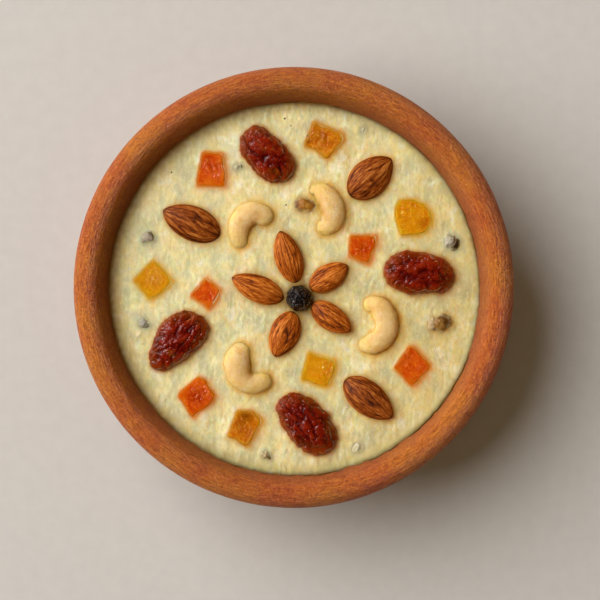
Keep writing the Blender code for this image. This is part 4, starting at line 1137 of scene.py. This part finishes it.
def disc_faces(ring_count):
    """Triangles of a disc made of rings of 6, 12, 18 and so on points."""
    faces = []
    inner_start, inner_count = 0, 1
    for k in range(1, ring_count + 1):
        outer_start, outer_count = inner_start + inner_count, 6 * k
        for sector in range(6):
            for j in range(k):
                a = outer_start + sector * k + j
                b = outer_start + (sector * k + j + 1) % outer_count
                c = inner_start + (sector * (k - 1) + j) % inner_count if k > 1 else 0
                faces.append((c, a, b))
                if j < k - 1:
                    d = inner_start + (sector * (k - 1) + j + 1) % inner_count
                    faces.append((c, b, d))
        inner_start, inner_count = outer_start, outer_count
    return faces


def rice_tree():
    """A node tree that strews grains over a surface where its clear mark allows them."""
    tree = bpy.data.node_groups.new("strewn_rice", "GeometryNodeTree")
    for name in ("Geometry", *RICE, "Material"):
        kind = name if name in ("Geometry", "Material") else "Float"
        tree.interface.new_socket(name, in_out="INPUT", socket_type="NodeSocket" + kind)
    tree.interface.new_socket("Geometry", in_out="OUTPUT", socket_type="NodeSocketGeometry")
    given = add(tree, "NodeGroupInput").node.outputs
    clear = add(tree, "GeometryNodeInputNamedAttribute", {"Name": "clear"}, out="Attribute", data_type="FLOAT")
    spread = add(tree, "GeometryNodeDistributePointsOnFaces", {
        "Mesh": given["Geometry"], "Distance Min": given["Spacing"], "Density Max": given["Per Square Metre"],
        "Density Factor": clear, "Seed": 5,
    }, distribute_method="POISSON")
    half_length = add(tree, MATH, {0: given["Length"], 1: 0.5}, operation="MULTIPLY")
    half_width = add(tree, MATH, {0: given["Width"], 1: 0.5}, operation="MULTIPLY")
    size = add(tree, "ShaderNodeCombineXYZ", {"X": half_length, "Y": half_width, "Z": half_width})
    grain = add(tree, "GeometryNodeMeshIcoSphere", {"Radius": 1.0, "Subdivisions": 2}, out="Mesh")
    shaped = add(tree, "GeometryNodeTransform", {"Geometry": grain, "Scale": size})
    soft = add(tree, "GeometryNodeSetShadeSmooth", {"Geometry": shaped})
    lean = add(tree, "FunctionNodeRandomValue", {
        0: (-0.16, -0.12, math.radians(40.0)), 1: (0.16, 0.12, math.radians(108.0)), "Seed": 11,
    }, data_type="FLOAT_VECTOR")
    growth = add(
        tree, "FunctionNodeRandomValue", {0: (0.6, 0.75, 0.75), 1: (1.15, 1.2, 1.1), "Seed": 12},
        data_type="FLOAT_VECTOR",
    )
    placed = add(tree, "GeometryNodeInstanceOnPoints", {
        "Points": spread, "Instance": soft, "Rotation": lean, "Scale": growth,
    })
    drop = add(tree, MATH, {0: given["Sink"], 1: -1.0}, operation="MULTIPLY")
    down = add(tree, "ShaderNodeCombineXYZ", {"Z": drop})
    sunk = add(tree, "GeometryNodeTranslateInstances", {
        "Instances": placed, "Translation": down, "Local Space": False,
    })
    real = add(tree, "GeometryNodeRealizeInstances", {"Geometry": sunk})
    finished = add(tree, "GeometryNodeSetMaterial", {"Geometry": real, "Material": given["Material"]})
    add(tree, "NodeGroupOutput", {"Geometry": finished})
    return tree


def strew_rice(pudding, material):
    """Rice grains that show through the surface, as one plain mesh."""
    carrier = bpy.data.objects.new("rice_carrier", pudding.data.copy())
    bpy.context.scene.collection.objects.link(carrier)
    strewn = carrier.modifiers.new("strewn", "NODES")
    strewn.node_group = rice_tree()
    values = {**RICE, "Material": material}
    for item in strewn.node_group.interface.items_tree:
        if item.in_out == "INPUT" and item.name in values:
            strewn[item.identifier] = values[item.name]
    view = carrier.evaluated_get(bpy.context.evaluated_depsgraph_get())
    mesh = bpy.data.meshes.new_from_object(view)
    bpy.data.objects.remove(carrier, do_unlink=True)
    mesh.name = "rice_grains"
    piece = bpy.data.objects.new("rice_grains", mesh)
    bpy.context.scene.collection.objects.link(piece)
    return piece


def waterline(piece):
    """Places in plan where a topping's skin meets the pudding, in millimetres."""
    points = np.zeros(len(piece.data.vertices) * 3, np.float32)
    piece.data.vertices.foreach_get("co", points)
    points = points.reshape(-1, 3) / MM
    near = np.abs(points[:, 2] - LEVEL - 0.2) < 0.45
    return points[near][:, :2][::2]


def seed_rings(stain_and_shade):
    """Places in plan round the seed lobes that leave this stain, with its painted shadow, in millimetres."""
    for x, y, _, long, short, _, heading, *_, kind in SEED_LOBES:
        if kind == stain_and_shade:
            turn = np.linspace(0.0, math.tau, 20, endpoint=False)
            ring = np.column_stack((0.85 * long * np.cos(turn), 0.85 * short * np.sin(turn), 0.0 * turn))
            yield from turned_and_moved(ring, x, y, 0.0, heading)[:, :2].tolist()


def build_table():
    """A plain table top just under the bowl's foot."""
    mesh = bpy.data.meshes.new("table_top")
    corners = [(x * TABLE_REACH * MM, y * TABLE_REACH * MM, 0.0) for x, y in ((-1, -1), (1, -1), (1, 1), (-1, 1))]
    mesh.from_pydata(corners, [], [(0, 1, 2, 3)])
    mesh.materials.append(table_paper())
    table = bpy.data.objects.new("table_top", mesh)
    bpy.context.scene.collection.objects.link(table)
    table.location.z = -TABLE_DROP * MM


def hang_lamp(name, size):
    """A round lamp on the upper left that faces the bowl."""
    lamp = bpy.data.lights.new(name, "AREA")
    lamp.shape = "DISK"
    lamp.size = size
    lamp.energy = LAMP_WATTS
    lamp.color = colour(LAMP_COLOUR)[:3]
    hung = bpy.data.objects.new(name, lamp)
    bpy.context.scene.collection.objects.link(hung)
    lift = math.radians(LAMP_HEIGHT_DEG)
    way = Vector((*(LAMP_WAY * math.cos(lift)), math.sin(lift)))
    hung.location = way * LAMP_DISTANCE
    hung.visible_camera = False
    hung.rotation_euler = way.to_track_quat("Z", "Y").to_euler()
    return hung


def light_scene():
    """A wide window for soft shadows, a narrow one for the gloss on wet skins, and a dim warm surrounding."""
    world = bpy.data.worlds.new("surrounding")
    world.use_nodes = True
    world.node_tree.nodes["Background"].inputs["Color"].default_value = colour(WORLD_COLOUR)
    world.node_tree.nodes["Background"].inputs["Strength"].default_value = WORLD_STRENGTH
    world.cycles_visibility.glossy = False
    bpy.context.scene.world = world
    hang_lamp("window", LAMP_SIZE).visible_glossy = False
    hang_lamp("window_gloss", GLOSS_SIZE).visible_diffuse = False


def aim_camera():
    """A camera straight above the bowl, as the photograph was taken."""
    eye = bpy.data.cameras.new("eye")
    eye.sensor_width = SENSOR_WIDTH
    eye.lens = SENSOR_WIDTH * CAMERA_RISE / VIEW_WIDTH
    camera = bpy.data.objects.new("eye", eye)
    bpy.context.scene.collection.objects.link(camera)
    camera.location = (VIEW_CENTRE[0] * MM, VIEW_CENTRE[1] * MM, (BOWL_HEIGHT + CAMERA_RISE) * MM)
    bpy.context.scene.camera = camera


def finish_piece(piece, node_name):
    """Hides the node's own part, if the piece stands for one, and hangs the piece from the root body."""
    if node_name:
        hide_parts(node_name)
    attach(piece, "root")


def build():
    """The bowl, what lies in the pudding, the pudding that fits round it, and the stage."""
    scene = bpy.context.scene
    scene.view_settings.view_transform = "Standard"
    finish_piece(make_bowl(terracotta()), "bowl")
    dark_almond = almond_skin("whole_almond_skin", "#401502", "#8E420B", "#CC7E36")
    warm_almond = almond_skin("flower_almond_skin", "#4C1C02", "#AA510D", "#E28C36")
    gold, red = cashew_flesh(), raisin_skin()
    makers = {
        "almond": (almond, dark_almond, "almond_skin"), "petal": (almond, warm_almond, "almond_skin"),
        "cashew": (cashew, gold, "cashew_flesh"), "raisin": (raisin, red, "raisin_skin"),
    }
    peels = {
        "orange": candied("candied_orange", "#CA4402", "#D65402", "#EE8424", "#DE6A08"),
        "yellow": candied("candied_yellow", "#D48402", "#DC9002", "#EAAC24", "#E09A04"),
        "amber": candied("candied_amber", "#BC5E02", "#D07602", "#E69E38", "#DA8E10"),
    }
    toppings = []
    for name in (*ALMONDS, *CASHEWS, *RAISINS):
        kind = name.split("_")[0]
        make, skin, slot = makers[kind]
        piece = make(name, skin)
        finish_piece(piece, name)
        toppings.append((kind, waterline(piece)))
    piece = currant(currant_skin())
    finish_piece(piece, "currant")
    toppings.append(("currant", waterline(piece)))
    for name in DICE:
        kind = name.split("_")[0]
        piece = dice(name, peels[kind])
        finish_piece(piece, name)
        toppings.append((kind, rounded_outline(DICE[name][3], 0.1, DICE_CORNER, 12, 60)))
    for stain_and_shade in ("husk", "syrup"):
        toppings.append((stain_and_shade, list(seed_rings(stain_and_shade))))
    pudding = make_pudding(cooked_cream(), toppings)
    rice = strew_rice(pudding, boiled_rice())
    finish_piece(pudding, "pudding")
    finish_piece(rice, None)
    finish_piece(make_seeds(seed_skin()), None)
    build_table()
    light_scene()
    aim_camera()


build()
